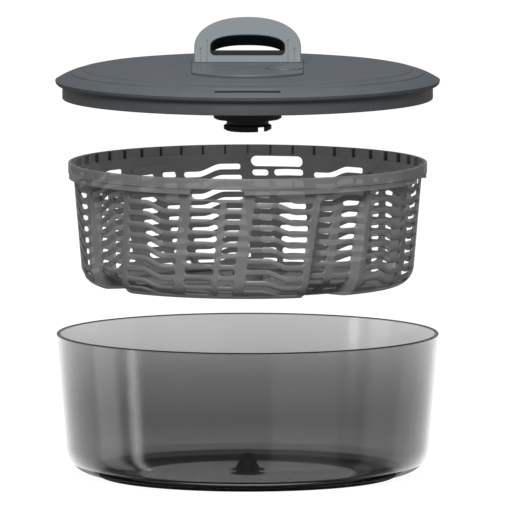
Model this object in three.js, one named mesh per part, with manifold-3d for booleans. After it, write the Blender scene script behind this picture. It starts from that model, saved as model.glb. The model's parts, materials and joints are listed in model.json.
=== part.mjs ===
// A pull-cord salad spinner, opened up: the bowl on the table, the strainer basket
// lifted out above it, and the lid with its drive mechanism above the basket.
// Millimetres, +Z up. The origin is the centre of the bowl's underside; -Y is the front.
import * as THREE from 'three';
import { mergeVertices } from 'three/addons/utils/BufferGeometryUtils.js';
import Module from 'manifold-3d';

const wasm = await Module();
wasm.setup();

// ---------------------------------------------------------------- driving dimensions
const SEGMENTS = 48;
const SMALL_SEGMENTS = 16;
const GAP = 0.3;                 // between pieces that touch
const CUT = 1;                   // how far a cutter runs past what it cuts

const BOWL_R = 130;
const BOWL_HEIGHT = 97.3;
const BOWL_WALL = 2.6;
const BOWL_LOWER_R = 123.7;      // outer radius where the side meets the rounded corner
const BOWL_CORNER_Z = 24;
const BOWL_CORNER_POWER = 2.4;   // superellipse power of the rounded corner
const BOWL_FLOOR_Z = 3.7;
const BOWL_FLOOR_R = 88;
const CONE_TOP_Z = 15.1;
const FOOT_OUTER_R = 101;
const FOOT_INNER_R = 92;
const FOOT_HEIGHT = 2;

const BASKET_SEAT_Z = 9.6;       // basket's underside when it stands in the bowl
const BASKET_LIFT = 121.2;       // how far the opened-up basket is above its seat
const BASKET_HEIGHT = 83.4;
const BASKET_WALL = 2;
const COLLAR_R = 121.9;
const COLLAR_Z = 72.4;           // underside of the collar round the rim
const BASKET_TOP_R = 118.1;
const BASKET_LOWER_R = 113.1;
const BASKET_CORNER_Z = 14;
const BASKET_FLOOR_R = 100;
const PANELS = 16;
const PANEL_ANGLE = 360 / PANELS;
const SLOT_START = 2.6;          // degrees from the front to the start of the first slot
const SLOT_ANGLE = 20;
const SLOT_ROWS = 8;
const SLOT_PITCH = 7.6;
const SLOT_HEIGHT = 3.7;
const SLOT_FIRST_Z = 69;         // middle of the top slot where it starts
const SLOT_DROP = 5;             // how far a slot falls from its start to its end
const TWIST_PER_MM = 3.3 / 53;   // degrees that the bars lean for each mm down the wall
const FLUTE_DEPTH = 6;           // radial depth of a recessed panel at the wall
const FLUTE_FLOOR_DEPTH = 15;    // the same at the floor's edge
const RIBS = 48;
const RIB_INNER_R = 117.6;
const RIB_WIDTH = 2.4;
const RIB_HEIGHT = 6.3;
const SOCKET_R = 7.9;
const SOCKET_TOP_Z = 10.1;

const LID_LIFT = 169.2;          // how far the opened-up lid is above its seat on the rim
const LID_R = 130.7;
const LID_EDGE_Z = 3.4;          // height of the widest line above the lid's seat
const DOME_RISE = 10.9;
const DOME_POWER = 7.8;          // the top is nearly flat and rolls over at its edge
const LID_WALL = 2.2;
const SKIRT_R = 125.9;
const SKIRT_WALL = 2;
const SKIRT_Z = -9.2;
const DECK_Z = 1;
const DECK_WALL = 2;
const DECK_HOLE_R = 36;
const PANEL_HALF_WIDTH = 37.7;
const PANEL_BACK_Y = 29;
const PANEL_SHOULDER_Y = -73;
const PANEL_NOSE_Y = -95;
const PANEL_Z = 13.2;
const PANEL_TOP_Z = 15.3;
const BUTTON_X = 24.8;
const BUTTON_Y = -45;
const BUTTON_R = 11.3;
const BUTTON_TRAVEL = 1.8;
const COVER_SCREW_R = 96;        // how far from the axis the cover's screws stand
const COVER_SLOT_HALF = 22;      // half the width of the slot in the cover's front edge

const HOUSING_R = 35;
const HOUSING_TOP_Z = 11.3;
const HOUSING_BOTTOM_Z = -10.6;
const HOUSING_SCREW_R = 39.5;
const AXLE_R = 3;
const SPOOL_BARREL_R = 10.4;
const CORD_R = 0.9;
const WINDING_R = 11.6;          // radius of the wound cord's centre line
const CORD_Y = 11;               // where the cord comes up through the lid
const RATCHET_TEETH = 12;
const RATCHET_PHASE = 5.7;
const RATCHET_TIP_R = 15.3;
const RATCHET_ROOT_R = 17.6;
const PAWL_PIVOT_R = 9.6;
const PAWL_REST_ANGLE = 60;      // folded in, clear of the teeth

const DISC_R = 116.8;
const DISC_Z = -6.6;
const DISC_WALL = 2;
const DISH_R = 39.5;
const DISH_Z = -17.7;
const LUGS = 12;
const LUG_R = 118.9;
const KNURL_R = 23.2;
const KNURL_Z = -23.2;
const BOSS_R = 14.3;
const BOSS_LIP_R = 16.3;
const BOSS_Z = -31.2;

const HANDLE_LEAN = THREE.MathUtils.degToRad(28);
const HANDLE_HALF_WIDTH = 36.3;
const HANDLE_SIDE = 10.5;        // straight stretch of the sides before the arch
const HANDLE_HEIGHT = 33.4;
const HANDLE_POWER = 2.2;        // superellipse power of the arch
const HANDLE_THICKNESS = 19;
const HANDLE_BASE_Z = PANEL_TOP_Z + GAP;
const WINDOW_HALF_WIDTH = 25.2;
const WINDOW_BOTTOM = 5;
const WINDOW_TOP = 20.4;
const WINDOW_CORNER = 3.4;
const BAR_FRONT_Y = 2.6;
const BAR_BACK_Y = 15.5;
const BAR_HEIGHT = 4.35;
const HANDLE_SCREW_X = 30.8;
const HANDLE_SCREW_V = 13;

// ---------------------------------------------------------------- materials
const finish = (color, roughness, metalness = 0) => () =>
  new THREE.MeshStandardMaterial({ color, roughness, metalness });
const smokedClear = finish(0x8d9092, 0.1);
const smokedBasket = finish(0x75787a, 0.25);
const lidGrey = finish(0x6b7074, 0.3);
const frameGrey = finish(0x565a5d, 0.4);
const panelGrey = finish(0x65696d, 0.3);
const handleGrey = finish(0x8e979b, 0.4);
const black = finish(0x1a1c1e, 0.5);
const rubber = finish(0x101010, 0.8);
const acetal = finish(0xdcdcd6, 0.4);
const steel = finish(0xb0b3b6, 0.3, 1);
const cordGrey = finish(0x3c3f42, 0.9);

// ---------------------------------------------------------------- geometry helpers
const degrees = THREE.MathUtils.degToRad;

const signedArea = (points) => points.reduce((sum, [r, z], i) => {
  const [nextR, nextZ] = points[(i + 1) % points.length];
  return sum + (r * nextZ - nextR * z) / 2;
}, 0);

// A solid of revolution about Z from an outline of [radius, z] points.
const turned = (outline, segments = SEGMENTS) => {
  const points = signedArea(outline) < 0 ? [...outline].reverse() : [...outline];
  const before = (i) => points[(i + points.length - 1) % points.length];
  const start = points.findIndex(([r], i) => r === 0 && before(i)[0] === 0);
  const ordered = start < 0 ? [...points, points[0]] : [...points.slice(start), ...points.slice(0, start)];
  const geometry = new THREE.LatheGeometry(ordered.map(([r, z]) => new THREE.Vector2(r, z)), segments);
  return geometry.rotateX(Math.PI / 2);
};

const ring = (outerR, innerR, lowZ, highZ, segments = SEGMENTS) =>
  turned([[innerR, lowZ], [outerR, lowZ], [outerR, highZ], [innerR, highZ]], segments);

const rod = (r, lowZ, highZ, segments = SMALL_SEGMENTS) =>
  turned([[0, lowZ], [r, lowZ], [r, highZ], [0, highZ]], segments);

const box = (lowX, highX, lowY, highY, lowZ, highZ) =>
  new THREE.BoxGeometry(highX - lowX, highY - lowY, highZ - lowZ)
    .translate((lowX + highX) / 2, (lowY + highY) / 2, (lowZ + highZ) / 2);

const extruded = (shape, lowZ, highZ, curveSegments = 8) =>
  new THREE.ExtrudeGeometry(shape, { depth: highZ - lowZ, bevelEnabled: false, curveSegments })
    .translate(0, 0, lowZ);

const shapeOf = (points) => new THREE.Shape(points.map(([x, y]) => new THREE.Vector2(x, y)));

// three.js geometry to a manifold solid, and back.
const solid = (geometry) => {
  const bare = geometry.clone();
  bare.deleteAttribute('normal');
  bare.deleteAttribute('uv');
  const merged = mergeVertices(bare, 1e-4);
  const triangles = [];
  for (let i = 0; i < merged.index.count; i += 3) {
    const [a, b, c] = [0, 1, 2].map((k) => merged.index.getX(i + k));
    if (a !== b && b !== c && c !== a) triangles.push(a, b, c);
  }
  return new wasm.Manifold(new wasm.Mesh({
    numProp: 3,
    vertProperties: new Float32Array(merged.attributes.position.array),
    triVerts: new Uint32Array(triangles),
  }));
};

const geometryOf = (manifold) => {
  const mesh = manifold.getMesh();
  const geometry = new THREE.BufferGeometry();
  geometry.setAttribute('position', new THREE.BufferAttribute(new Float32Array(mesh.vertProperties), 3));
  geometry.setIndex(new THREE.BufferAttribute(new Uint32Array(mesh.triVerts), 1));
  return geometry;
};

const joined = (first, ...others) => geometryOf(
  others.reduce((sum, part) => sum.add(solid(part)), solid(first)),
);
const cut = (first, ...cutters) => geometryOf(
  cutters.reduce((rest, part) => rest.subtract(solid(part)), solid(first)),
);

const spun = (count, make, firstAngle = 0) =>
  Array.from({ length: count }, (_, i) => make(i).rotateZ(degrees(firstAngle + (i * 360) / count)));

const piece = (parent, name, geometry, material) => {
  const mesh = new THREE.Mesh(geometry, material());
  mesh.name = name;
  parent.add(mesh);
  return mesh;
};

// A superellipse quarter from (centreX + a, centreY) round to (centreX, centreY + b).
const roundCorner = (centreX, centreY, a, b, power, steps) => Array.from({ length: steps + 1 }, (_, i) => {
  const angle = (i / steps) * (Math.PI / 2);
  const x = i === steps ? 0 : Math.cos(angle) ** (2 / power);
  const y = Math.sin(angle) ** (2 / power);
  return [centreX + a * x, centreY + b * y];
});

// ---------------------------------------------------------------- bowl
const bowlOutline = () => {
  const ledgeZ = FOOT_HEIGHT + GAP;
  const ledgeR = FOOT_OUTER_R + GAP;
  const corner = (wall, lowZ) => roundCorner(
    ledgeR, BOWL_CORNER_Z, BOWL_LOWER_R - wall - ledgeR, lowZ - BOWL_CORNER_Z, BOWL_CORNER_POWER, 5,
  );
  const stepR = 98;
  const stepZ = 0.9;
  const innerFloorZ = BOWL_FLOOR_Z + 2 * stepZ;
  const underZ = 1.2;
  const cone = [[12.6, BOWL_FLOOR_Z], [8.2, 4.9], [3.6, 14.2], [2, CONE_TOP_Z], [0, CONE_TOP_Z]];
  const hollow = [[0, 12], [4.6, 5], [9.5, underZ]];
  return [
    ...hollow, [FOOT_INNER_R - GAP, underZ], [FOOT_INNER_R - GAP, ledgeZ],
    ...corner(0, ledgeZ).reverse(),
    [BOWL_R, BOWL_HEIGHT - 0.6], [BOWL_R - 0.4, BOWL_HEIGHT], [BOWL_R - BOWL_WALL, BOWL_HEIGHT],
    ...corner(BOWL_WALL, innerFloorZ),
    [stepR, innerFloorZ], [stepR, innerFloorZ - stepZ],
    [BOWL_FLOOR_R, innerFloorZ - stepZ], [BOWL_FLOOR_R, BOWL_FLOOR_Z],
    ...cone,
  ];
};

const addBowl = (group) => {
  piece(group, 'bowl', turned(bowlOutline(), SEGMENTS), smokedClear);
  piece(group, 'foot_ring', ring(FOOT_OUTER_R, FOOT_INNER_R, 0, FOOT_HEIGHT), rubber);
};

// ---------------------------------------------------------------- basket
// The pierced wall is one closed skin over a grid: rows of stations down the wall, four
// columns to each panel (a bar, then the slot in three lengths). Each station has an outer
// and an inner point, and the slot cells are left open and edged.
const COLUMN_SHARES = [0, 1 / 3, 2 / 3, 1];
const COLUMNS = PANELS * COLUMN_SHARES.length;

const basketOuterR = (z) => {
  if (z >= BASKET_CORNER_Z) {
    const share = (z - BASKET_CORNER_Z) / (COLLAR_Z - BASKET_CORNER_Z);
    return BASKET_LOWER_R + (BASKET_TOP_R - BASKET_LOWER_R) * share;
  }
  const fall = (BASKET_CORNER_Z - z) / BASKET_CORNER_Z;
  return BASKET_FLOOR_R + (BASKET_LOWER_R - BASKET_FLOOR_R) * Math.sqrt(1 - fall * fall);
};

const isFluted = (panel) => panel % 4 === 1;

const fluteDepth = (column, z) => {
  const inFlute = isFluted(Math.floor(column / 4)) && column % 4 !== 0 && column % 4 !== 3;
  if (!inFlute || z > SLOT_FIRST_Z + SLOT_HEIGHT) return 0;
  const low = Math.max(0, 1 - z / BASKET_CORNER_Z);
  return FLUTE_DEPTH + (FLUTE_FLOOR_DEPTH - FLUTE_DEPTH) * low;
};

const columnAngle = (column, z) => {
  const panel = Math.floor(column / 4);
  const share = COLUMN_SHARES[column % 4];
  const lean = TWIST_PER_MM * (COLLAR_Z - Math.min(z, COLLAR_Z));
  return degrees(SLOT_START + PANEL_ANGLE * panel + SLOT_ANGLE * share - lean);
};

const wallPoint = (column, z, inset) => {
  const angle = columnAngle(column, z);
  const r = basketOuterR(z) - fluteDepth(column, z) - inset;
  return [r * Math.sin(angle), -r * Math.cos(angle), z];
};

const slotZ = (column, row) => SLOT_FIRST_Z - SLOT_PITCH * row - SLOT_DROP * COLUMN_SHARES[column % 4];

// One station of the wall: its outer and inner point for every column, and what lies below it.
const wallStations = () => {
  const level = (r, outerZ, innerZ) => ({
    open: false,
    at: (column, inset) => {
      const angle = columnAngle(column, COLLAR_Z);
      return [(r - inset) * Math.sin(angle), -(r - inset) * Math.cos(angle), inset ? innerZ : outerZ];
    },
  });
  const edge = (row, side) => ({
    open: side > 0,
    at: (column, inset) => wallPoint(column, slotZ(column, row) + (side * SLOT_HEIGHT) / 2, inset),
  });
  const floorEdge = (r) => ({
    open: false,
    at: (column, inset) => {
      const angle = columnAngle(column, 0);
      return [r * Math.sin(angle), -r * Math.cos(angle), inset];
    },
  });
  const stations = [
    level(COLLAR_R, BASKET_HEIGHT, BASKET_HEIGHT),
    level(COLLAR_R, COLLAR_Z, COLLAR_Z + BASKET_WALL),
    level(BASKET_TOP_R, COLLAR_Z, COLLAR_Z + BASKET_WALL),
  ];
  for (let row = 0; row < SLOT_ROWS; row += 1) {
    stations.push(edge(row, 1), edge(row, -1));
  }
  stations.push({ open: false, at: (column, inset) => wallPoint(column, 3.5, inset) });
  stations.push({ open: false, at: (column, inset) => {
    const [x, y, z] = wallPoint(column, 0.2, inset);
    return [x, y, inset ? z + BASKET_WALL : 0];
  } });
  stations.push(floorEdge(80));
  return stations;
};

const basketWall = () => {
  const stations = wallStations();
  const positions = [];
  const vertex = (station, column, inset) => {
    positions.push(...stations[station].at(column % COLUMNS, inset));
    return positions.length / 3 - 1;
  };
  const index = [];
  // A face with one corner for each [station, column, inset].
  const cell = (...corners) => {
    const [a, b, c, d] = corners.map(([station, column, inset]) => vertex(station, column, inset));
    index.push(a, b, c, a, c, d);
  };
  const last = stations.length - 1;
  const t = BASKET_WALL;
  const isOpen = (station, column) => stations[station].open && column % 4 !== 3;
  for (let column = 0; column < COLUMNS; column += 1) {
    const next = column + 1;
    cell([0, column, t], [0, column, 0], [0, next, 0], [0, next, t]);
    cell([last, column, 0], [last, column, t], [last, next, t], [last, next, 0]);
    for (let station = 0; station < last; station += 1) {
      const below = station + 1;
      if (isOpen(station, column)) {
        cell([station, column, 0], [station, column, t], [station, next, t], [station, next, 0]);
        cell([below, column, t], [below, column, 0], [below, next, 0], [below, next, t]);
        if (column % 4 === 0) {
          cell([station, column, t], [station, column, 0], [below, column, 0], [below, column, t]);
        }
        if (column % 4 === 2) {
          cell([station, next, 0], [station, next, t], [below, next, t], [below, next, 0]);
        }
      } else {
        cell([station, column, 0], [below, column, 0], [below, next, 0], [station, next, 0]);
        cell([station, next, t], [below, next, t], [below, column, t], [station, column, t]);
      }
    }
  }
  const geometry = new THREE.BufferGeometry();
  geometry.setAttribute('position', new THREE.Float32BufferAttribute(positions, 3));
  geometry.setIndex(index);
  return geometry;
};

const basketFloor = () => {
  const floorR = 82;
  const plate = turned([
    [SOCKET_R, 0], [floorR, 0], [floorR, BASKET_WALL], [SOCKET_R + BASKET_WALL, BASKET_WALL],
    [SOCKET_R + BASKET_WALL, SOCKET_TOP_Z], [0, SOCKET_TOP_Z], [0, SOCKET_TOP_Z - BASKET_WALL],
    [SOCKET_R, SOCKET_TOP_Z - BASKET_WALL],
  ], 32);
  const drains = spun(8, () => box(-2, 2, 28, 68, -CUT, BASKET_WALL + CUT), PANEL_ANGLE);
  return cut(plate, ...drains);
};

const addBasket = (group) => {
  const ribs = spun(RIBS, () => box(
    -RIB_WIDTH / 2, RIB_WIDTH / 2, RIB_INNER_R, COLLAR_R - BASKET_WALL / 2,
    BASKET_HEIGHT - 0.2 - RIB_HEIGHT, BASKET_HEIGHT - 0.2,
  ));
  piece(group, 'basket', joined(basketWall(), basketFloor(), ...ribs), smokedBasket);
  piece(group, 'pivot_cup', turned([
    [6.2, 0.4], [3.8, 5.9], [0, 5.9], [0, 7.7], [5.5, 7.7], [SOCKET_R - 0.4, 6.2], [SOCKET_R - 0.4, 0.4],
  ], SMALL_SEGMENTS), acetal);
};

// ---------------------------------------------------------------- lid shells
const domeZ = (r) => LID_EDGE_Z + DOME_RISE * (1 - (r / LID_R) ** DOME_POWER);

const tongue = (inset) => {
  const halfWidth = PANEL_HALF_WIDTH - inset;
  const sagitta = PANEL_SHOULDER_Y - PANEL_NOSE_Y;
  const arcR = (PANEL_HALF_WIDTH ** 2 + sagitta ** 2) / (2 * sagitta);
  const centreY = PANEL_NOSE_Y + arcR;
  const half = Math.asin(halfWidth / (arcR - inset));
  const backY = PANEL_BACK_Y - inset;
  const cornerR = 8;
  const shape = new THREE.Shape();
  shape.absarc(0, centreY, arcR - inset, -Math.PI / 2 - half, -Math.PI / 2 + half, false);
  shape.absarc(halfWidth - cornerR, backY - cornerR, cornerR, 0, Math.PI / 2, false);
  shape.absarc(-halfWidth + cornerR, backY - cornerR, cornerR, Math.PI / 2, Math.PI, false);
  return shape;
};

const lidCover = () => {
  const radii = [LID_R, 128, 122, 112, 95, 60];
  const top = radii.map((r) => [r, domeZ(r)]);
  const inside = [122, 112, 95, 60].map((r) => [r - 1, domeZ(r) - LID_WALL]).reverse();
  const innerR = SKIRT_R + 0.5;
  const shell = turned([
    [innerR, 0], [129, 0.3], [130.2, 1.4], ...top, [0, domeZ(0)],
    [0, domeZ(0) - LID_WALL], ...inside, [innerR, DECK_Z + DECK_WALL + GAP],
  ]);
  const bosses = spun(4, () => rod(4, DECK_Z + DECK_WALL + GAP, 12, 8).translate(0, COVER_SCREW_R, 0), 45);
  const bores = spun(4, () => rod(1.7, 0, 9.5, 8).translate(0, COVER_SCREW_R, 0), 45);
  return cut(
    joined(shell, ...bosses), ...bores,
    extruded(tongue(-GAP), PANEL_Z - GAP, 30, 6),
    rod(BUTTON_R + 0.5, 0, 30, 24).translate(BUTTON_X, BUTTON_Y, 0),
    rod(3.6, 5, 30).translate(0, CORD_Y, 0),
    box(-COVER_SLOT_HALF, COVER_SLOT_HALF, -124.4, -122.8, 3.6, 20),
  );
};

const lidPanel = () => cut(
  extruded(tongue(0), PANEL_Z, PANEL_TOP_Z, 12),
  rod(BUTTON_R + 0.5, 0, 30, 24).translate(BUTTON_X, BUTTON_Y, 0),
  rod(5, 0, 30).translate(0, CORD_Y, 0),
  box(-10.5, 10.5, -21, -19.4, 0, 30),
);

const lidFrame = () => {
  const plate = turned([
    [SKIRT_R - SKIRT_WALL, SKIRT_Z], [SKIRT_R, SKIRT_Z], [SKIRT_R, DECK_Z + DECK_WALL],
    [DECK_HOLE_R, DECK_Z + DECK_WALL], [DECK_HOLE_R, DECK_Z], [SKIRT_R - SKIRT_WALL, DECK_Z],
  ]);
  return cut(
    plate,
    ...spun(4, () => rod(1.8, -5, 10, 8).translate(0, COVER_SCREW_R, 0), 45),
    ...spun(3, () => rod(1.8, -5, 10, 8).translate(0, HOUSING_SCREW_R, 0), 60),
    rod(4, -5, 10, SMALL_SEGMENTS).translate(BUTTON_X, BUTTON_Y, 0),
  );
};

const screw = (headR, headHeight, shankR, length) => turned([
  [0, 0], [headR, 0], [headR, headHeight], [shankR, headHeight], [shankR, length], [0, length],
], 8);

const addLidShells = (group) => {
  piece(group, 'lid_cover', lidCover(), lidGrey);
  piece(group, 'lid_panel', lidPanel(), panelGrey);
  piece(group, 'lid_frame', lidFrame(), frameGrey);
  piece(group, 'fairlead', turned([
    [1.4, 11.7], [3.3, 11.7], [3.3, PANEL_Z + GAP], [4.7, PANEL_Z + GAP],
    [4.7, PANEL_TOP_Z], [1.4, PANEL_TOP_Z],
  ], SMALL_SEGMENTS).translate(0, CORD_Y, 0), acetal);
  for (let i = 0; i < 4; i += 1) {
    const angle = degrees(45 + 90 * i);
    const one = piece(group, `cover_screw_${i + 1}`, screw(3.2, 1.8, 1.4, 10), steel);
    one.position.set(-COVER_SCREW_R * Math.sin(angle), COVER_SCREW_R * Math.cos(angle), DECK_Z - GAP - 1.8);
  }
};

// ---------------------------------------------------------------- brake
const addBrake = (group) => {
  const buttonTop = PANEL_TOP_Z + 0.7;
  const padBottom = DISC_Z + DISC_WALL + BUTTON_TRAVEL + 0.2;
  const padTop = padBottom + 1.6;
  const button = turned([
    [0, padTop + GAP], [3.2, padTop + GAP], [3.2, 9], [5.6, 9], [5.6, 11.5], [BUTTON_R, 11.5],
    [BUTTON_R, buttonTop - 0.5], [BUTTON_R - 0.8, buttonTop], [8, buttonTop - 0.3], [0, buttonTop - 0.6],
  ], 24);
  piece(group, 'brake_button', button.translate(BUTTON_X, BUTTON_Y, 0), panelGrey);
  piece(group, 'brake_pad', rod(5, padBottom, padTop).translate(BUTTON_X, BUTTON_Y, 0), rubber);
  const spring = ring(5.2, 3.8, DECK_Z + DECK_WALL + GAP, 8.7, SMALL_SEGMENTS);
  piece(group, 'brake_spring', spring.translate(BUTTON_X, BUTTON_Y, 0), steel);
};

// ---------------------------------------------------------------- cord drive
const spiralBand = (innerR, outerR, turns, thickness, lowZ, highZ) => {
  const steps = Math.round(turns * 12);
  const at = (i, offset) => {
    const angle = (i / steps) * turns * 2 * Math.PI;
    const r = innerR + ((outerR - innerR) * i) / steps + offset;
    return [r * Math.cos(angle), r * Math.sin(angle)];
  };
  const outerSide = Array.from({ length: steps + 1 }, (_, i) => at(i, thickness));
  const innerSide = Array.from({ length: steps + 1 }, (_, i) => at(steps - i, 0));
  return extruded(shapeOf([...outerSide, ...innerSide]), lowZ, highZ);
};

const addMechanism = (group) => {
  const flangeZ = DECK_Z + DECK_WALL + GAP;
  const housing = turned([
    [HOUSING_R - 2, HOUSING_BOTTOM_Z], [HOUSING_R, HOUSING_BOTTOM_Z], [HOUSING_R, flangeZ], [43, flangeZ],
    [43, flangeZ + 2], [HOUSING_R, flangeZ + 2], [HOUSING_R, HOUSING_TOP_Z], [AXLE_R + GAP, HOUSING_TOP_Z],
    [AXLE_R + GAP, HOUSING_TOP_Z - 2], [HOUSING_R - 2, HOUSING_TOP_Z - 2],
  ], 32);
  piece(group, 'mechanism_housing', cut(
    housing,
    ...spun(3, () => rod(1.8, 0, 8, 8).translate(0, HOUSING_SCREW_R, 0), 60),
    box(-2.5, 2.5, 8.5, 13.5, 5, 20),
  ), black);
  for (let i = 0; i < 3; i += 1) {
    const angle = degrees(60 + 120 * i);
    const one = piece(group, `housing_screw_${i + 1}`, screw(3, 1.8, 1.4, 7).rotateX(Math.PI), steel);
    one.position.set(
      -HOUSING_SCREW_R * Math.sin(angle), HOUSING_SCREW_R * Math.cos(angle), flangeZ + 2 + GAP + 1.8,
    );
  }
  piece(group, 'axle_pin', turned([
    [0, -28.6], [AXLE_R, -28.6], [AXLE_R, -26.5], [2.4, -26.5], [2.4, -25], [AXLE_R, -25],
    [AXLE_R, 11], [0, 11],
  ], SMALL_SEGMENTS), steel);
  const clip = ring(5.5, 2.7, -26.2, -25.2, SMALL_SEGMENTS);
  piece(group, 'retaining_clip', cut(clip, box(-1.6, 1.6, -7, 0, -30, -20)), steel);
  piece(group, 'thrust_washer', ring(6.1, AXLE_R + GAP, -24.9, -24.3, SMALL_SEGMENTS), steel);
  piece(group, 'spring_cup', turned([
    [6.4, -10.6], [32.6, -10.6], [32.6, -5], [31.4, -5], [31.4, -9.6], [6.4, -9.6],
  ], 32), black);
  piece(group, 'spiral_spring', spiralBand(7, 29.5, 3.5, 0.8, -9.3, -5.3), steel);
  piece(group, 'spool', turned([
    [AXLE_R + GAP, -11], [5.8, -11], [5.8, -4.7], [17, -4.7], [17, -3], [SPOOL_BARREL_R, -3],
    [SPOOL_BARREL_R, 8.7], [AXLE_R + GAP, 8.7],
  ], 24), acetal);
  piece(group, 'cord_winding', ring(WINDING_R + CORD_R, WINDING_R - CORD_R, -2.7, 8.4, 24), cordGrey);
  piece(group, 'cord_lead', rod(CORD_R, 9.1, 16.8, 8).translate(0, CORD_Y, 0), cordGrey);
};

const pawlOutline = () => {
  const shape = shapeOf([
    [-2.6, -1.8], [0.5, -2.6], [6.6, 1], [8.6, 3.6], [7.6, 4.4], [3.6, 2.9], [-0.8, 2.7], [-2.6, 1.4],
  ]);
  shape.holes.push(new THREE.Path().absarc(0, 0, 1.5, 0, 2 * Math.PI, true));
  return shape;
};

const ratchetRing = () => {
  const pitch = 360 / RATCHET_TEETH;
  const outline = new THREE.Shape().absarc(0, 0, 20.5, 0, 2 * Math.PI, false);
  const inside = [];
  for (let tooth = 0; tooth < RATCHET_TEETH; tooth += 1) {
    for (const [r, share] of [[RATCHET_TIP_R, 0], [RATCHET_ROOT_R, 0.25], [RATCHET_ROOT_R, 0.92]]) {
      const angle = degrees(RATCHET_PHASE + pitch * (tooth + share));
      inside.push([r * Math.cos(angle), r * Math.sin(angle)]);
    }
  }
  outline.holes.push(shapeOf(inside.reverse()));
  return extruded(outline, -13.9, -10.9, 16);
};

const addRatchet = (group) => {
  const studs = spun(2, () => rod(1.2, -13, -11.2, 8).translate(PAWL_PIVOT_R, 0, 0));
  piece(group, 'pawl_carrier', joined(turned([
    [AXLE_R + GAP, -13.9], [13.2, -13.9], [13.2, -12.7], [5.5, -12.7], [5.5, -11.3], [AXLE_R + GAP, -11.3],
  ], 24), ...studs), acetal);
  for (let i = 0; i < 2; i += 1) {
    const pawl = piece(group, `pawl_${i + 1}`, extruded(pawlOutline(), -12.4, -11.3, 4), steel);
    const angle = Math.PI * i;
    pawl.position.set(PAWL_PIVOT_R * Math.cos(angle), PAWL_PIVOT_R * Math.sin(angle), 0);
    pawl.rotation.z = angle + degrees(PAWL_REST_ANGLE);
  }
  piece(group, 'ratchet_ring', ratchetRing(), steel);
};

// ---------------------------------------------------------------- drive disc
const addDrive = (group) => {
  const hubR = 11.5;
  const ledgeZ = DISH_Z + DISC_WALL + GAP;
  piece(group, 'drive_hub', turned([
    [AXLE_R + GAP, -24], [hubR, -24], [hubR, ledgeZ], [20.5, ledgeZ], [20.5, -14.2], [AXLE_R + GAP, -14.2],
  ], 24), black);
  const disc = turned([
    [12, DISH_Z], [DISH_R, DISH_Z], [47, DISC_Z], [DISC_R, DISC_Z], [DISC_R, DISC_Z + DISC_WALL],
    [45.5, DISC_Z + DISC_WALL], [38.2, DISH_Z + DISC_WALL], [12, DISH_Z + DISC_WALL],
  ]);
  const lugs = spun(LUGS, () => box(-4, 4, DISC_R - 2, LUG_R, DISC_Z - 1.8, DISC_Z + DISC_WALL), 3.75);
  piece(group, 'drive_disc', joined(disc, ...lugs), black);
  const cap = turned([
    [0, BOSS_Z], [BOSS_R - 0.6, BOSS_Z], [BOSS_LIP_R, -29.8], [BOSS_LIP_R, -27.4], [BOSS_R, -26.4],
    [BOSS_R, KNURL_Z],
    [KNURL_R - 1.6, KNURL_Z], [KNURL_R, -22.2], [KNURL_R, DISH_Z - GAP], [hubR + GAP, DISH_Z - GAP],
    [hubR + GAP, -24.3], [6.4, -24.3], [6.4, -29.6], [0, -29.6],
  ], 24);
  piece(group, 'lock_cap', cut(
    cap,
    box(7.2, 11, -20, 20, -40, -27.8),
    box(-20, -12, 4, 20, -40, -26),
    box(-20, -12, -20, -4, -40, -26),
  ), black);
};

// ---------------------------------------------------------------- handle
const handleOutline = () => {
  const arch = roundCorner(0, HANDLE_SIDE, HANDLE_HALF_WIDTH, HANDLE_HEIGHT - HANDLE_SIDE, HANDLE_POWER, 8);
  const left = arch.map(([x, y]) => [-x, y]).reverse().slice(1);
  const below = -12;
  return shapeOf([[-HANDLE_HALF_WIDTH, below], [HANDLE_HALF_WIDTH, below], ...arch, ...left]);
};

const windowOutline = () => {
  const shoulder = 11.5;
  const arch = roundCorner(0, shoulder, WINDOW_HALF_WIDTH, WINDOW_TOP - shoulder, 2.4, 6);
  const left = arch.map(([x, y]) => [-x, y]).reverse().slice(1);
  const corner = roundCorner(
    WINDOW_HALF_WIDTH - WINDOW_CORNER, WINDOW_BOTTOM + WINDOW_CORNER, WINDOW_CORNER, -WINDOW_CORNER, 2, 3,
  ).reverse();
  const leftCorner = corner.map(([x, y]) => [-x, y]).reverse();
  return shapeOf([...leftCorner, ...corner, ...arch, ...left]);
};

// The handle is drawn upright in its own plane, then leant back about its front lower edge.
const leant = (geometry) => geometry
  .rotateX(Math.PI / 2)
  .rotateX(-HANDLE_LEAN)
  .translate(0, 0, HANDLE_BASE_Z);

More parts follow.
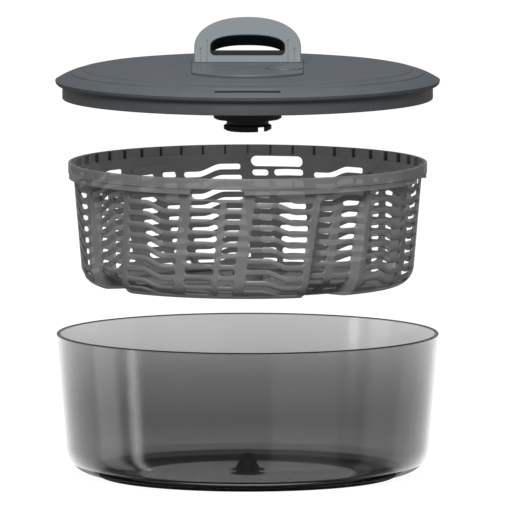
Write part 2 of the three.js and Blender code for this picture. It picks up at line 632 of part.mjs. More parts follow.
const addHandle = (group) => {
  const wide = 60;
  const deep = -HANDLE_THICKNESS;
  const block = leant(extruded(handleOutline(), deep, 0));
  const window = leant(extruded(windowOutline(), deep - CUT, CUT));
  const barHalf = WINDOW_HALF_WIDTH + CUT;
  const bar = box(-barHalf, barHalf, BAR_FRONT_Y, BAR_BACK_Y, HANDLE_BASE_Z, HANDLE_BASE_Z + BAR_HEIGHT);
  const ground = box(-wide, wide, -wide, wide, HANDLE_BASE_Z - wide, HANDLE_BASE_Z);
  const whole = cut(
    joined(cut(block, window), bar), ground,
    rod(2.5, 17, 19.4).translate(0, CORD_Y, 0),
    rod(1.4, 10, 18, 8).translate(0, CORD_Y, 0),
  );
  const middle = deep / 2;
  const half = (nearT, farT) => leant(box(-wide, wide, -wide, wide, farT, nearT));
  const bore = (sign, r, nearT, farT) =>
    leant(rod(r, farT, nearT, 10).translate(sign * HANDLE_SCREW_X, HANDLE_SCREW_V, 0));
  piece(group, 'handle_front_shell', cut(
    whole, half(middle + GAP / 2, deep - wide),
    bore(-1, 1.8, -4, middle - CUT), bore(1, 1.8, -4, middle - CUT),
  ), handleGrey);
  piece(group, 'handle_back_shell', cut(
    whole, half(wide, middle - GAP / 2),
    bore(-1, 1.8, 0, deep - CUT), bore(1, 1.8, 0, deep - CUT),
    bore(-1, 3.1, deep + 2.4, deep - CUT), bore(1, 3.1, deep + 2.4, deep - CUT),
  ), handleGrey);
  [-1, 1].forEach((sign, i) => {
    const one = screw(2.8, 1.6, 1.5, 12).translate(sign * HANDLE_SCREW_X, HANDLE_SCREW_V, deep + 0.4);
    piece(group, `handle_screw_${i + 1}`, leant(one), steel);
  });
  piece(group, 'cord_anchor', rod(2.2, 17.3, 19.1).translate(0, CORD_Y, 0), cordGrey);
};

// ---------------------------------------------------------------- assembly
const spinner = new THREE.Group();
addBowl(spinner);

const basketStage = new THREE.Group();
basketStage.position.z = BASKET_SEAT_Z + BASKET_LIFT;
addBasket(basketStage);
spinner.add(basketStage);

const lidStage = new THREE.Group();
lidStage.position.z = BOWL_HEIGHT + LID_LIFT;
addLidShells(lidStage);
addBrake(lidStage);
addMechanism(lidStage);
addRatchet(lidStage);
addDrive(lidStage);
addHandle(lidStage);
spinner.add(lidStage);

export default spinner;
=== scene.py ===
"""A pull-cord salad spinner, opened up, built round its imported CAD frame.

Each piece is drawn in millimetres about the spinner's axis and placed at the height
where the frame has its CAD node. -Y is the front.
"""
import json
import math

import bmesh
import bpy
import numpy as np
from mathutils import Matrix, Vector


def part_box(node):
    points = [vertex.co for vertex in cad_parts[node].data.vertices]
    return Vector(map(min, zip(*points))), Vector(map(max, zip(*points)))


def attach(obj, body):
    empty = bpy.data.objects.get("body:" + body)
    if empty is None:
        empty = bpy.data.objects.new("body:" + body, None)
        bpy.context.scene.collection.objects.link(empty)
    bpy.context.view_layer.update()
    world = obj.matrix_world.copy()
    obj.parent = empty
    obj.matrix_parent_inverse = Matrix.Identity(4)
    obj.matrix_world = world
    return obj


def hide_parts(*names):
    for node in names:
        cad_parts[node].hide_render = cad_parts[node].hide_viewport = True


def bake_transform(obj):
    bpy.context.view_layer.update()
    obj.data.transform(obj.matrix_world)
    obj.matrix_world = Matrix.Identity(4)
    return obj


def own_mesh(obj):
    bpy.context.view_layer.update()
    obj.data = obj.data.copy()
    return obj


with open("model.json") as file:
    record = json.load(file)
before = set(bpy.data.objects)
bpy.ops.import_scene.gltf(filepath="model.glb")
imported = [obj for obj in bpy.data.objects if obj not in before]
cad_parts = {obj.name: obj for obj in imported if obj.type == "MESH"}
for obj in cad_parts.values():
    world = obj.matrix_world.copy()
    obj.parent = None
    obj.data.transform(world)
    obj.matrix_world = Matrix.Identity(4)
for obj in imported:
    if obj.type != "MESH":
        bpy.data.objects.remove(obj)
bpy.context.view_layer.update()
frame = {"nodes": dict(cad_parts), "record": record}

MM = 0.001
RIM_STEPS = 4  # points in each rounded edge of an outline
FINE = 192  # segments round a large turned piece
SMALL = 64  # segments round a small one
SHARP_ANGLE = 38  # degrees between faces from which an edge is shaded sharp
AXIS_R = 1e-6  # mm from the axis that still count as on it
FLAT_CORNER = math.radians(88)  # half the angle of a corner too flat to need rounding
CORNER_REACH = 0.45  # how much of an outline's edge one rounded corner may use up


# ---- sizes taken from the frame
def low(node):
    """The lowest z of a CAD node, in mm."""
    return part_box(node)[0].z / MM


def high(node):
    """The highest z of a CAD node, in mm."""
    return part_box(node)[1].z / MM


def radius(node):
    """The widest radius of a CAD node that is centred on the axis, in mm."""
    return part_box(node)[1].x / MM


def middle(node):
    """The middle of a CAD node's box, in mm."""
    return (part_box(node)[0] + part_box(node)[1]) / 2 / MM


def half_width(node):
    """Half of a CAD node's width from side to side, in mm."""
    return (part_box(node)[1].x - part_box(node)[0].x) / 2 / MM


BOWL_R = radius("bowl")
BOWL_TOP = high("bowl")
BASKET_BASE = low("basket")
BASKET_TOP = high("basket") - BASKET_BASE
COLLAR_R = radius("basket")
LID_SEAT = low("lid_cover")
LID_R = radius("lid_cover")


# ---- mesh helpers
def smoothstep(low_edge, high_edge, value):
    """A soft step from 0 to 1 between two values."""
    share = np.clip((value - low_edge) / (high_edge - low_edge), 0, 1)
    return share * share * (3 - 2 * share)


def outward(points, faces):
    """The faces, turned over if the closed mesh is inside out."""
    points = np.asarray(points, float)
    fans = np.array([(face[0], a, b) for face in faces for a, b in zip(face[1:], face[2:])])
    first, second, third = (points[fans[:, i]] for i in range(3))
    volume = np.einsum("ij,ij", first, np.cross(second, third))
    return faces if volume > 0 else [tuple(reversed(face)) for face in faces]


def shade(mesh, sharp_angle, flat=(0, 0, 1)):
    """Smooth shading, but sharp at real edges and flat on the faces that look along flat."""
    mesh.shade_smooth()
    mesh.set_sharp_from_angle(angle=math.radians(sharp_angle))
    for polygon in mesh.polygons:
        if abs(polygon.normal.dot(Vector(flat))) > 0.99999:
            polygon.use_smooth = False


def placed(name, data):
    """A new object of the scene."""
    obj = bpy.data.objects.new(name, data)
    bpy.context.scene.collection.objects.link(obj)
    return obj


def mesh_object(name, points, faces, base_z=0.0, sharp_angle=SHARP_ANGLE):
    """A smooth-shaded object from points in mm, raised by base_z mm."""
    points = np.asarray(points, float)
    faces = outward(points, faces)
    mesh = bpy.data.meshes.new(name)
    lifted = (points + np.array([0, 0, base_z])) * MM
    mesh.from_pydata([tuple(p) for p in lifted], [], faces)
    mesh.validate()
    shade(mesh, sharp_angle)
    return placed(name, mesh)


def rounded(corners, default_radius=0.4):
    """A closed outline with its corners rounded.

    A corner is (r, z) or (r, z, radius), and the points on the axis stay sharp.
    """
    points = []
    for i, corner in enumerate(corners):
        here = np.array(corner[:2], float)
        size = corner[2] if len(corner) > 2 else default_radius
        if size <= 0 or here[0] == 0:
            points.append(here)
            continue
        back = np.array(corners[i - 1][:2], float) - here
        ahead = np.array(corners[(i + 1) % len(corners)][:2], float) - here
        reach = CORNER_REACH * min(np.linalg.norm(back), np.linalg.norm(ahead))
        back /= np.linalg.norm(back)
        ahead /= np.linalg.norm(ahead)
        half_angle = math.acos(np.clip(np.dot(back, ahead), -1, 1)) / 2
        if half_angle > FLAT_CORNER:
            points.append(here)
            continue
        cut = min(size / math.tan(half_angle), reach)
        start, end = here + back * cut, here + ahead * cut
        for step in range(RIM_STEPS + 1):
            share = step / RIM_STEPS
            points.append((1 - share) ** 2 * start + 2 * share * (1 - share) * here + share**2 * end)
    return points


def turned_mesh(outline, segments=FINE, ripple=None):
    """Points and faces of a solid of revolution; ripple(angle, r, z) moves a point inwards."""
    points, rings = [], []
    angles = np.arange(segments) * 2 * math.pi / segments
    for r, z in outline:
        first = len(points)
        if r < AXIS_R:
            points.append((0.0, 0.0, z))
            rings.append([first] * segments)
            continue
        for angle in angles:
            here = r - (ripple(angle, r, z) if ripple else 0)
            points.append((here * math.sin(angle), -here * math.cos(angle), z))
        rings.append(list(range(first, first + segments)))
    faces = []
    for one, other in zip(rings, rings[1:] + rings[:1]):
        if one[0] == one[1] and other[0] == other[1]:
            continue
        for i in range(segments):
            j = (i + 1) % segments
            face = dict.fromkeys((one[i], one[j], other[j], other[i]))
            faces.append(tuple(face))
    return points, faces


def turned(name, outline, base_z=0.0, segments=FINE, ripple=None):
    """An object that is a solid of revolution about the spinner's axis."""
    return mesh_object(name, *turned_mesh(outline, segments, ripple), base_z)


def evaluated_mesh(obj):
    """A new mesh of an object with its modifiers or its curve's bevel."""
    return bpy.data.meshes.new_from_object(obj.evaluated_get(bpy.context.evaluated_depsgraph_get()))


def unpacked(work):
    """Points and faces of a bmesh, which is freed."""
    work.verts.index_update()
    mesh = [tuple(v.co) for v in work.verts], [tuple(v.index for v in f.verts) for f in work.faces]
    work.free()
    return mesh


def plate_mesh(loops, low_z, high_z, bevel):
    """Points and faces of a flat plate with rounded edges, from its outline and then its holes."""
    curve = bpy.data.curves.new("plate", "CURVE")
    curve.dimensions = "2D"
    curve.fill_mode = "BOTH"
    curve.extrude = (high_z - low_z) / 2 - bevel
    curve.bevel_depth = bevel
    curve.bevel_resolution = 2
    curve.offset = -bevel
    for loop in loops:
        spline = curve.splines.new("POLY")
        spline.points.add(len(loop) - 1)
        for point, (x, y) in zip(spline.points, loop):
            point.co = (x, y, 0, 1)
        spline.use_cyclic_u = True
    obj = placed("plate", curve)
    mesh = evaluated_mesh(obj)
    work = bmesh.new()
    work.from_mesh(mesh)
    bmesh.ops.remove_doubles(work, verts=work.verts, dist=1e-3)
    bmesh.ops.translate(work, verts=work.verts, vec=(0, 0, (low_z + high_z) / 2))
    bpy.data.objects.remove(obj)
    bpy.data.curves.remove(curve)
    bpy.data.meshes.remove(mesh)
    return unpacked(work)


def moved(mesh, matrix):
    """The points of a (points, faces) pair after a 4x4 matrix."""
    points, faces = mesh
    return [tuple(matrix @ Vector(p)) for p in points], faces


def around(mesh, count, first=0.0):
    """A (points, faces) pair repeated round the axis, from a first angle on."""
    turn = 2 * math.pi / count
    return [moved(mesh, Matrix.Rotation(first + turn * i, 4, "Z")) for i in range(count)]


def together(*meshes):
    """Several (points, faces) pairs as one, each turned the right way out."""
    points, faces = [], []
    for some_points, some_faces in meshes:
        first = len(points)
        some_faces = outward(np.asarray(some_points, float), some_faces)
        points += list(some_points)
        faces += [tuple(i + first for i in face) for face in some_faces]
    return points, faces


def block_mesh(low_corner, high_corner, bevel=0.3):
    """A block with rounded edges."""
    (x0, y0, z0), (x1, y1, z1) = low_corner, high_corner
    return plate_mesh([[(x0, y0), (x1, y0), (x1, y1), (x0, y1)]], z0, z1, bevel)


def box_mesh(low_corner, high_corner):
    """A sharp-edged box, for cutting with."""
    (x0, y0, z0), (x1, y1, z1) = low_corner, high_corner
    points = [(x, y, z) for z in (z0, z1) for x, y in ((x0, y0), (x1, y0), (x1, y1), (x0, y1))]
    faces = [(3, 2, 1, 0), (4, 5, 6, 7)] + [(i, (i + 1) % 4, (i + 1) % 4 + 4, i + 4) for i in range(4)]
    return points, faces


def rod_mesh(x, y, r, low_z, high_z, segments=24):
    """An upright rod, for cutting with."""
    mesh = turned_mesh([(0, low_z), (r, low_z), (r, high_z), (0, high_z)], segments)
    return moved(mesh, Matrix.Translation((x, y, 0)))


def combine(obj, operation, meshes, flat=(0, 0, 1)):
    """Cuts (DIFFERENCE) or adds (UNION) closed meshes in mm above the lid's seat, one by one."""
    tools = [mesh_object("tool", *mesh, LID_SEAT) for mesh in meshes]
    for tool in tools:
        modifier = obj.modifiers.new("join", "BOOLEAN")
        modifier.operation = operation
        modifier.solver = "EXACT"
        modifier.object = tool
    mesh = evaluated_mesh(obj)
    obj.modifiers.clear()
    obj.data = mesh
    shade(mesh, SHARP_ANGLE, flat)
    for tool in tools:
        bpy.data.objects.remove(tool)


def dress(obj, body, slot, node):
    """The piece rides on a body, stands for a CAD node and takes its slot's material."""
    obj.data.materials.clear()
    obj.data.materials.append(MATERIALS[slot])
    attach(obj, body)
    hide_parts(node)


# ---- materials
NOISE_RANGE = (0.3, 0.7)  # the part of 0 to 1 that a noise mostly fills
EDGE_POINTINESS = (0.52, 0.6)  # from a flat face to an edge
EDGE_WEAR = 0.25

# The bowl's tint and painted shade as (place, linear grey): up the wall, and out from the axis in the floor
# and below it.
# Besides the smoke's own grey the stops hold painted shade: lighter and darker bands by height up the wall,
# and near black at the cone, at the floor's edge over the ring and at the underside's edge.
WALL_TINT_AND_SHADE = [
    (0.02, 0.66), (0.14, 0.61), (0.26, 0.545), (0.57, 0.55), (0.74, 0.62), (0.87, 0.66), (1.0, 0.7),
]
FLOOR_TINT_AND_SHADE = [(0.085, 0.04), (0.1, 0.64), (0.655, 0.64), (0.67, 0.25), (0.79, 0.15), (0.82, 0.48)]
UNDERSIDE_TINT_AND_SHADE = [(0.085, 0.04), (0.1, 0.64), (0.55, 0.64), (0.58, 0.04)]
# How much of the gloss is held back, out from the axis: painted shade over the reflections in the thick
# floor, cone and rim.
FLOOR_REFLECTION_SHADE = [(0.085, 0.92), (0.1, 0.7), (0.64, 0.7), (0.66, 0.95)]
# The rim's see-through is painted dark: painted shade for its thick edge.
RIM_TINT_AND_SHADE = (0.2, 0.2, 0.2, 1)
# Where the zones of the bowl begin and end, in mm above the table or from the axis.
UNDERSIDE_Z = (2.4, 2.0)
FLOOR_ZONE_Z = (6.0, 5.6)
FLOOR_EDGE = (112, 118)
FLOOR_EDGE_RISE = 3
CONE_ZONE_R = (11, 8)
RIM_ZONE_Z = (BOWL_TOP - 1.1, BOWL_TOP - 0.5)


def metres(*lengths):
    """Lengths in mm as metres."""
    return [length * MM for length in lengths]


def node_tree(name):
    """A new material with an empty node tree."""
    material = bpy.data.materials.new(name)
    material.use_nodes = True
    material.node_tree.nodes.clear()
    return material, material.node_tree


def add(tree, kind, inputs=None, **settings):
    """A shader node with its settings and sockets; a socket, or a node's first one, is linked."""
    node = tree.nodes.new("ShaderNode" + kind)
    for key, value in settings.items():
        setattr(node, key, value)
    for key, value in (inputs or {}).items():
        if isinstance(value, bpy.types.Node):
            value = value.outputs[0]
        if isinstance(value, bpy.types.NodeSocket):
            tree.links.new(value, node.inputs[key])
        else:
            node.inputs[key].default_value = value
    return node


def object_noise(tree, size_mm, detail=3.0, stretch=(1, 1, 1)):
    """Noise in the object's own space, with blotches of about size_mm."""
    where = add(tree, "TexCoord").outputs["Object"]
    mapping = add(tree, "Mapping", {"Vector": where, "Scale": stretch})
    noise = {"Vector": mapping, "Scale": 1 / (size_mm * MM), "Detail": detail}
    return add(tree, "TexNoise", noise).outputs["Fac"]


def ranged(tree, value, from_low, from_high, to_low=0.0, to_high=1.0):
    """A value carried over from one range to another, and held at its ends."""
    ends = {"From Min": from_low, "From Max": from_high, "To Min": to_low, "To Max": to_high}
    return add(tree, "MapRange", {"Value": value, **ends}).outputs[0]


def between(tree, noise, low_value, high_value):
    """A number that a noise moves between two values."""
    return ranged(tree, noise, *NOISE_RANGE, low_value, high_value)


def calculated(tree, operation, *values):
    """The result of a Math node."""
    return add(tree, "Math", dict(enumerate(values)), operation=operation).outputs[0]


def mixed(tree, share, one, other):
    """A colour that goes from one to the other as share goes from 0 to 1."""
    return add(tree, "Mix", {0: share, 6: one, 7: other}, data_type="RGBA").outputs[2]


def colour_between(tree, noise, one, other):
    """A colour that a noise moves between two linear colours."""
    ramp = add(tree, "ValToRGB", {"Fac": noise})
    for element, place, colour in zip(ramp.color_ramp.elements, NOISE_RANGE, (one, other)):
        element.position = place
        element.color = (*colour, 1)
    return ramp.outputs["Color"]


def linear(*rgb):
    """sRGB 0 to 255 as the linear colour that shaders take."""
    return tuple(((c / 255 + 0.055) / 1.055) ** 2.4 if c > 10 else c / 255 / 12.92 for c in rgb)


def scaled(colour, share):
    """A colour made darker or lighter."""
    return tuple(c * share for c in colour)


def bumped(tree, height, depth_mm):
    """A normal that follows a height."""
    depth = {"Height": height, "Distance": depth_mm * MM, "Strength": 0.6}
    return add(tree, "Bump", depth).outputs[0]


def finished(material, surface):
    """The material, with a shader linked to its output."""
    add(material.node_tree, "OutputMaterial", {"Surface": surface})
    return material


def principled(tree, colour, roughness, normal, specular=0.5, metallic=0.0):
    """A Principled shader."""
    return add(tree, "BsdfPrincipled", {
        "Base Color": colour, "Roughness": roughness, "Normal": normal,
        "Specular IOR Level": specular, "Metallic": metallic,
    })


def shaders_mixed(tree, share, one, other):
    """A shader that goes from one to the other as share goes from 0 to 1."""
    return add(tree, "MixShader", {0: share, 1: one, 2: other})


def moulded(name, colour, roughness, grain_mm=0.35, depth_mm=0.02, mottle=0.06, specular=0.5):
    """Moulded plastic: a fine spark-eroded grain, faint flow mottling and handled, paler edges."""
    material, tree = node_tree(name)
    blotches = object_noise(tree, 18, 4)
    grain = object_noise(tree, grain_mm, 2)
    base = colour_between(tree, blotches, scaled(colour, 1 - mottle), scaled(colour, 1 + mottle))
    edges = add(tree, "NewGeometry").outputs["Pointiness"]
    worn = ranged(tree, edges, *EDGE_POINTINESS, 0.0, EDGE_WEAR)
    return finished(material, principled(
        tree, mixed(tree, worn, base, (*scaled(colour, 1.3), 1)),
        between(tree, blotches, roughness - 0.04, roughness + 0.05),
        bumped(tree, grain, depth_mm), specular,
    ))


def grazing(tree, head_on, power=5.0):
    """The share of light that a clear surface mirrors, by the angle it is seen at."""
    facing = add(tree, "LayerWeight", {"Blend": 0.5}).outputs["Facing"]
    steep = calculated(tree, "POWER", facing, power)
    return calculated(tree, "MULTIPLY_ADD", steep, 1 - head_on, head_on)


def ramp_of(tree, value, stops):
    """A grey from (place, linear grey) stops, where value runs from 0 to 1."""
    ramp = add(tree, "ValToRGB", {"Fac": value})
    elements = ramp.color_ramp.elements
    while len(elements) < len(stops):
        elements.new(0.5)
    for element, (place, grey) in zip(elements, stops):
        element.position = place
        element.color = (grey, grey, grey, 1)
    return ramp.outputs["Color"]


def bowl_zones(tree, height, from_axis):
    """How far a point of the bowl is in the thick floor or cone, in the floor's underside, in the rim."""
    foot_rise = ranged(tree, from_axis, *metres(*FLOOR_EDGE), 0, FLOOR_EDGE_RISE * MM)
    above_foot = calculated(tree, "SUBTRACT", height, foot_rise)
    in_floor = ranged(tree, above_foot, *metres(*FLOOR_ZONE_Z))
    in_cone = ranged(tree, from_axis, *metres(*CONE_ZONE_R))
    thick = calculated(tree, "MAXIMUM", in_floor, in_cone)
    in_underside = ranged(tree, height, *metres(*UNDERSIDE_Z))
    in_rim = ranged(tree, height, *metres(*RIM_ZONE_Z))
    return thick, in_underside, in_rim


def smoked_clear():
    """Smoke-tinted clear plastic, tinted by height in the wall and by radius in the floor.

    Light isn't bent in it, so the tint also carries painted shade: it stands for what the thick foot, the
    cone and the rim do to the light, and the gloss there is held back as painted shade over the
    reflections.
    """
    material, tree = node_tree("smoked clear plastic")
    where = add(tree, "TexCoord").outputs["Object"]
    height = add(tree, "SeparateXYZ", {0: where}).outputs["Z"]
    level = add(tree, "VectorMath", {0: where, 1: (1, 1, 0)}, operation="MULTIPLY").outputs[0]
    from_axis = add(tree, "VectorMath", {0: level}, operation="LENGTH").outputs["Value"]
    out_share = ranged(tree, from_axis, 0, BOWL_R * MM)
    thick, in_underside, in_rim = bowl_zones(tree, height, from_axis)

    streaks = object_noise(tree, 40, 2, (1, 1, 0.15))
    up_share = calculated(tree, "MULTIPLY_ADD", streaks, 0.04, ranged(tree, height, 0, BOWL_TOP * MM))
    # These ramps carry painted shade as well as the smoke's own grey.
    wall = ramp_of(tree, up_share, WALL_TINT_AND_SHADE)
    plate = ramp_of(tree, out_share, FLOOR_TINT_AND_SHADE)
    underside = ramp_of(tree, out_share, UNDERSIDE_TINT_AND_SHADE)
    body_tint_and_shade = mixed(tree, thick, wall, mixed(tree, in_underside, plate, underside))
    clear = add(tree, "BsdfTransparent", {"Color": mixed(tree, in_rim, body_tint_and_shade, RIM_TINT_AND_SHADE)})
    hazy = colour_between(tree, streaks, (0.1, 0.1, 0.1), (0.14, 0.14, 0.14))
    haze = add(tree, "BsdfDiffuse", {"Color": hazy})
    body = shaders_mixed(tree, 0.02, clear, haze)

    # Painted shade over reflections: the gloss is held back in the thick floor, the cone and the rim.
    reflection_shade_ramp = ramp_of(tree, out_share, FLOOR_REFLECTION_SHADE)
    reflection_shade = calculated(tree, "MULTIPLY", reflection_shade_ramp, calculated(tree, "MAXIMUM", thick, in_rim))
    shine = calculated(tree, "SUBTRACT", 1.0, reflection_shade)
    mirrored = calculated(tree, "MULTIPLY", grazing(tree, 0.028), shine)
    roughness = between(tree, streaks, 0.13, 0.18)
    gloss = add(tree, "BsdfGlossy", {"Color": (0.95, 0.95, 0.95, 1), "Roughness": roughness})
    return finished(material, shaders_mixed(tree, mirrored, body, gloss))


def smoked_basket():
    """The same smoke tint, but denser: mostly solid grey with a little light through it."""
    material, tree = node_tree("smoked basket plastic")
    blotches = object_noise(tree, 22, 4)
    solid = principled(
        tree, colour_between(tree, blotches, linear(112, 112, 112), linear(121, 121, 121)),
        between(tree, blotches, 0.26, 0.36), bumped(tree, object_noise(tree, 0.3, 1), 0.004),
        specular=0.35,
    )
    clear = add(tree, "BsdfTransparent", {"Color": (0.86, 0.865, 0.87, 1)})
    return finished(material, shaders_mixed(tree, between(tree, blotches, 0.71, 0.75), clear, solid))


def turned_steel():
    """Bright steel with fine turning marks."""
    material, tree = node_tree("bright steel")
    marks = object_noise(tree, 0.5, 3, (1, 1, 12))
    return finished(material, principled(
        tree, colour_between(tree, marks, (0.42, 0.43, 0.44), (0.55, 0.56, 0.57)),
        between(tree, marks, 0.22, 0.38), bumped(tree, marks, 0.01), metallic=1.0,
    ))


def braided_cord():
    """Dark braided cord: two sets of slanting strands."""
    material, tree = node_tree("braided cord")
    where = add(tree, "TexCoord").outputs["Object"]
    strands = []
    for slant in (1, -1):
        rotation = (0.6 * slant, 0, 0.8 * slant)
        slanted = add(tree, "Mapping", {"Vector": where, "Rotation": rotation})
        strands.append(add(tree, "TexWave", {"Vector": slanted, "Scale": 700}).outputs["Fac"])
    weave = calculated(tree, "MULTIPLY", *strands)
    tone = colour_between(tree, weave, (0.02, 0.021, 0.023), (0.07, 0.073, 0.08))
    return finished(material, principled(tree, tone, 0.85, bumped(tree, weave, 0.1)))


MATERIALS = {
    "bowl_clear": smoked_clear(),
    "basket_smoke": smoked_basket(),
    "lid_grey": moulded("lid grey plastic", linear(66, 71, 75), 0.56, specular=0.35),
    "panel_grey": moulded("panel grey plastic", linear(74, 78, 82), 0.4, depth_mm=0.008, specular=0.4),
    "frame_grey": moulded("frame grey plastic", linear(66, 69, 72), 0.42),
    "handle_grey": moulded("handle grey plastic", linear(89, 96, 99), 0.45, specular=0.3),
    "plastic_black": moulded("black plastic", linear(42, 44, 47), 0.45, specular=0.4),
    "rubber_black": moulded("black rubber", linear(9, 9, 10), 0.75, 0.6, 0.05),
    "acetal_white": moulded("white acetal", linear(205, 205, 198), 0.4, 0.5, 0.01, 0.03),
    "steel_bright": turned_steel(),
    "cord_dark": braided_cord(),
}


# ---- bowl
BOWL_WALL = 2.6
BOWL_LOWER_R = 123.7
CORNER_Z = 24
CORNER_POWER = 2.4
FOOT_R = radius("foot_ring")
FOOT_INNER_R = 92
FOOT_TOP = high("foot_ring")
GAP = 0.3  # between pieces that don't touch
BOWL_FLOOR_Z = 3.7
FLOOR_STEP = 0.9  # each of the two steps at the edge of the floor


def superellipse(centre_r, centre_z, half_r, half_z, power, steps=14):
    """A quarter of a superellipse, from the side round to the bottom."""
    points = []
    for i in range(steps + 1):
        angle = i / steps * math.pi / 2
        points.append((
            centre_r + half_r * max(math.cos(angle), 0) ** (2 / power),
            centre_z + half_z * math.sin(angle) ** (2 / power),
            0,
        ))
    return points


def build_bowl():
    """The clear bowl with the moulded cone in its floor, and the non-slip ring under it."""
    ledge_r, ledge_z, foot_in = FOOT_R + GAP, FOOT_TOP + GAP, FOOT_INNER_R - GAP
    outer_r, inner_z = BOWL_LOWER_R - ledge_r, BOWL_FLOOR_Z + 2 * FLOOR_STEP
    outer = superellipse(ledge_r, CORNER_Z, outer_r, ledge_z - CORNER_Z, CORNER_POWER)
    inner = superellipse(ledge_r, CORNER_Z, outer_r - BOWL_WALL, inner_z - CORNER_Z, CORNER_POWER)
    outline = [
        (0, 12), (4.6, 5, 1), (9.5, 1.2, 1), (foot_in, 1.2), (foot_in, ledge_z),
        *reversed(outer),
        (BOWL_R, BOWL_TOP, 0.9), (BOWL_R - BOWL_WALL, BOWL_TOP, 0.9),
        *inner,
        (98, inner_z), (97.4, inner_z - FLOOR_STEP), (88, inner_z - FLOOR_STEP), (87.4, BOWL_FLOOR_Z),
        (12.6, BOWL_FLOOR_Z, 1.2), (8.2, 4.9, 1), (3.6, 14.2, 1), (2, 15.1, 0.5), (0, 15.1),
    ]
    bowl = turned("clear_bowl", rounded(outline, 0.3))
    dress(bowl, "bowl", "bowl_clear", "bowl")
    foot = [(FOOT_INNER_R, 0), (FOOT_R, 0), (FOOT_R, FOOT_TOP), (FOOT_INNER_R, FOOT_TOP)]
    ring = turned("non_slip_ring", rounded(foot, 0.5))
    dress(ring, "bowl", "rubber_black", "foot_ring")
    return bowl


# ---- basket
BASKET_WALL = 2.0
COLLAR_Z = 72.4
LEDGE_Z = 76.9  # the inner ledge that the rim ribs stand on
WALL_TOP_R = 118.1
WALL_LOWER_R = 113.1
WALL_CORNER_Z = 14.0
FLOOR_EDGE_R = 100.0
CORNER_LENGTH = 21.3  # along the rounded corner between wall and floor
FLOOR_JOIN_R = 80.0
SOCKET_R = 7.9
SOCKET_TOP = 10.1
DRAIN_ANGLE = 45
DRAIN_LOW_R, DRAIN_HIGH_R, DRAIN_HALF = 28, 68, 2.0
RIB_COUNT = 48
RIB_WIDTH = 0.9
RIB_INNER_R = 117.6
BASKET_SHARP_ANGLE = 50
PANELS = 16
PANEL_ANGLE = 360 / PANELS
COLUMNS_PER_PANEL = 44
SLOT_START = 2.6
SLOT_ANGLE = 20.0
SLOT_ROWS = 9
SLOT_PITCH = 7.6
SLOT_FIRST_Z = 68.6
TWIST_PER_MM = 3.3 / 53
MM_PER_DEGREE = 2.02  # along the wall
WINDOW_LOW_Z = 68.8
WINDOW_HIGH_Z = 75.9
WINDOW_HALF_ANGLE = 8.8
KINDS = 4  # panels until the pattern repeats
FLUTED, SPLIT = 1, 3  # which of them are pressed in, and split below a window
FLUTE_TOP_Z = 71.8
FLUTE_HEIGHT = 120.0
FLUTE_HALF_ANGLE = 9.9
FLUTE_DEPTH = 6.0
FLUTE_FLOOR_DEPTH = 9.0  # more where the wall turns into the floor
# Rows of slots: first height, start and end in degrees, drop along the S, slot height
WAVE_SLOTS = [(SLOT_FIRST_Z, 0, SLOT_ANGLE, 5.0, 3.8)]
SPLIT_SLOTS = [(SLOT_FIRST_Z - 3.6, 1.3, 11.4, 0.8, 4.3), (SLOT_FIRST_Z - 3.6 + 0.3, 13.4, 18.8, 0.8, 4.1)]
FLUTE_SLOTS = [(64.8, 1.5, 7.3, -1.0, 3.7), (64.8, 11.0, 18.5, 1.0, 3.7)]
EDGE_ROUND = 0.55  # how far a slot's edge is rounded over
RIM_ROUND = 0.6
BAND_TOP_Z = 76.2  # the band round the collar, set back under the rim
BAND_DEPTH = 0.5
UNCUT = 5.0  # a distance from the openings that leaves the rim and the floor's edge whole


def rounded_box_distance(x, z, half_x, half_z, corner):
    """How far outside a box with round corners a point is; negative inside."""
    dx = np.abs(x) - (half_x - corner)
    dz = np.abs(z) - (half_z - corner)
    outside = np.hypot(np.maximum(dx, 0), np.maximum(dz, 0))
    return outside + np.minimum(np.maximum(dx, dz), 0) - corner


def panel_place(angle, along):
    """Which panel a point of the wall is in, and how many degrees past the start of its slots."""
    lean = TWIST_PER_MM * (COLLAR_Z - np.minimum(along, COLLAR_Z))
    turned_by = (angle + lean - SLOT_START) % 360
    panel = np.floor(turned_by / PANEL_ANGLE).astype(int) % PANELS
    return panel, turned_by - panel * PANEL_ANGLE


def slot_distance(past, along, rows):
    """How far a point of a panel is from the nearest of its slots, which have a soft S in them."""
    nearest = np.full(past.shape, np.inf)
    for first_z, start, end, drop, height in rows:
        across = (past - (start + end) / 2) * MM_PER_DEGREE
        half = (end - start) / 2 * MM_PER_DEGREE
        fall = drop * smoothstep(0.32, 0.76, past / SLOT_ANGLE)
        for row in range(SLOT_ROWS):
            above = along - (first_z - SLOT_PITCH * row - fall)
            distance = rounded_box_distance(across, above, half, height / 2, 0.42 * height)
            nearest = np.minimum(nearest, distance)
    return nearest


def wall_distance(angle, along):
    """How far a point of the basket's unrolled wall is from the nearest opening; negative in one."""
    panel, past = panel_place(angle, along)
    kind = panel % KINDS
    window_middle = (WINDOW_LOW_Z + WINDOW_HIGH_Z) / 2
    window = rounded_box_distance(
        (past - SLOT_ANGLE / 2) * MM_PER_DEGREE, along - window_middle,
        WINDOW_HALF_ANGLE * MM_PER_DEGREE, (WINDOW_HIGH_Z - WINDOW_LOW_Z) / 2, 3.3,
    )
    waves, fluted, split = (slot_distance(past, along, r) for r in (WAVE_SLOTS, FLUTE_SLOTS, SPLIT_SLOTS))
    split = np.minimum(split, window)
    return np.where(kind == SPLIT, split, np.where(kind == FLUTED, fluted, waves))


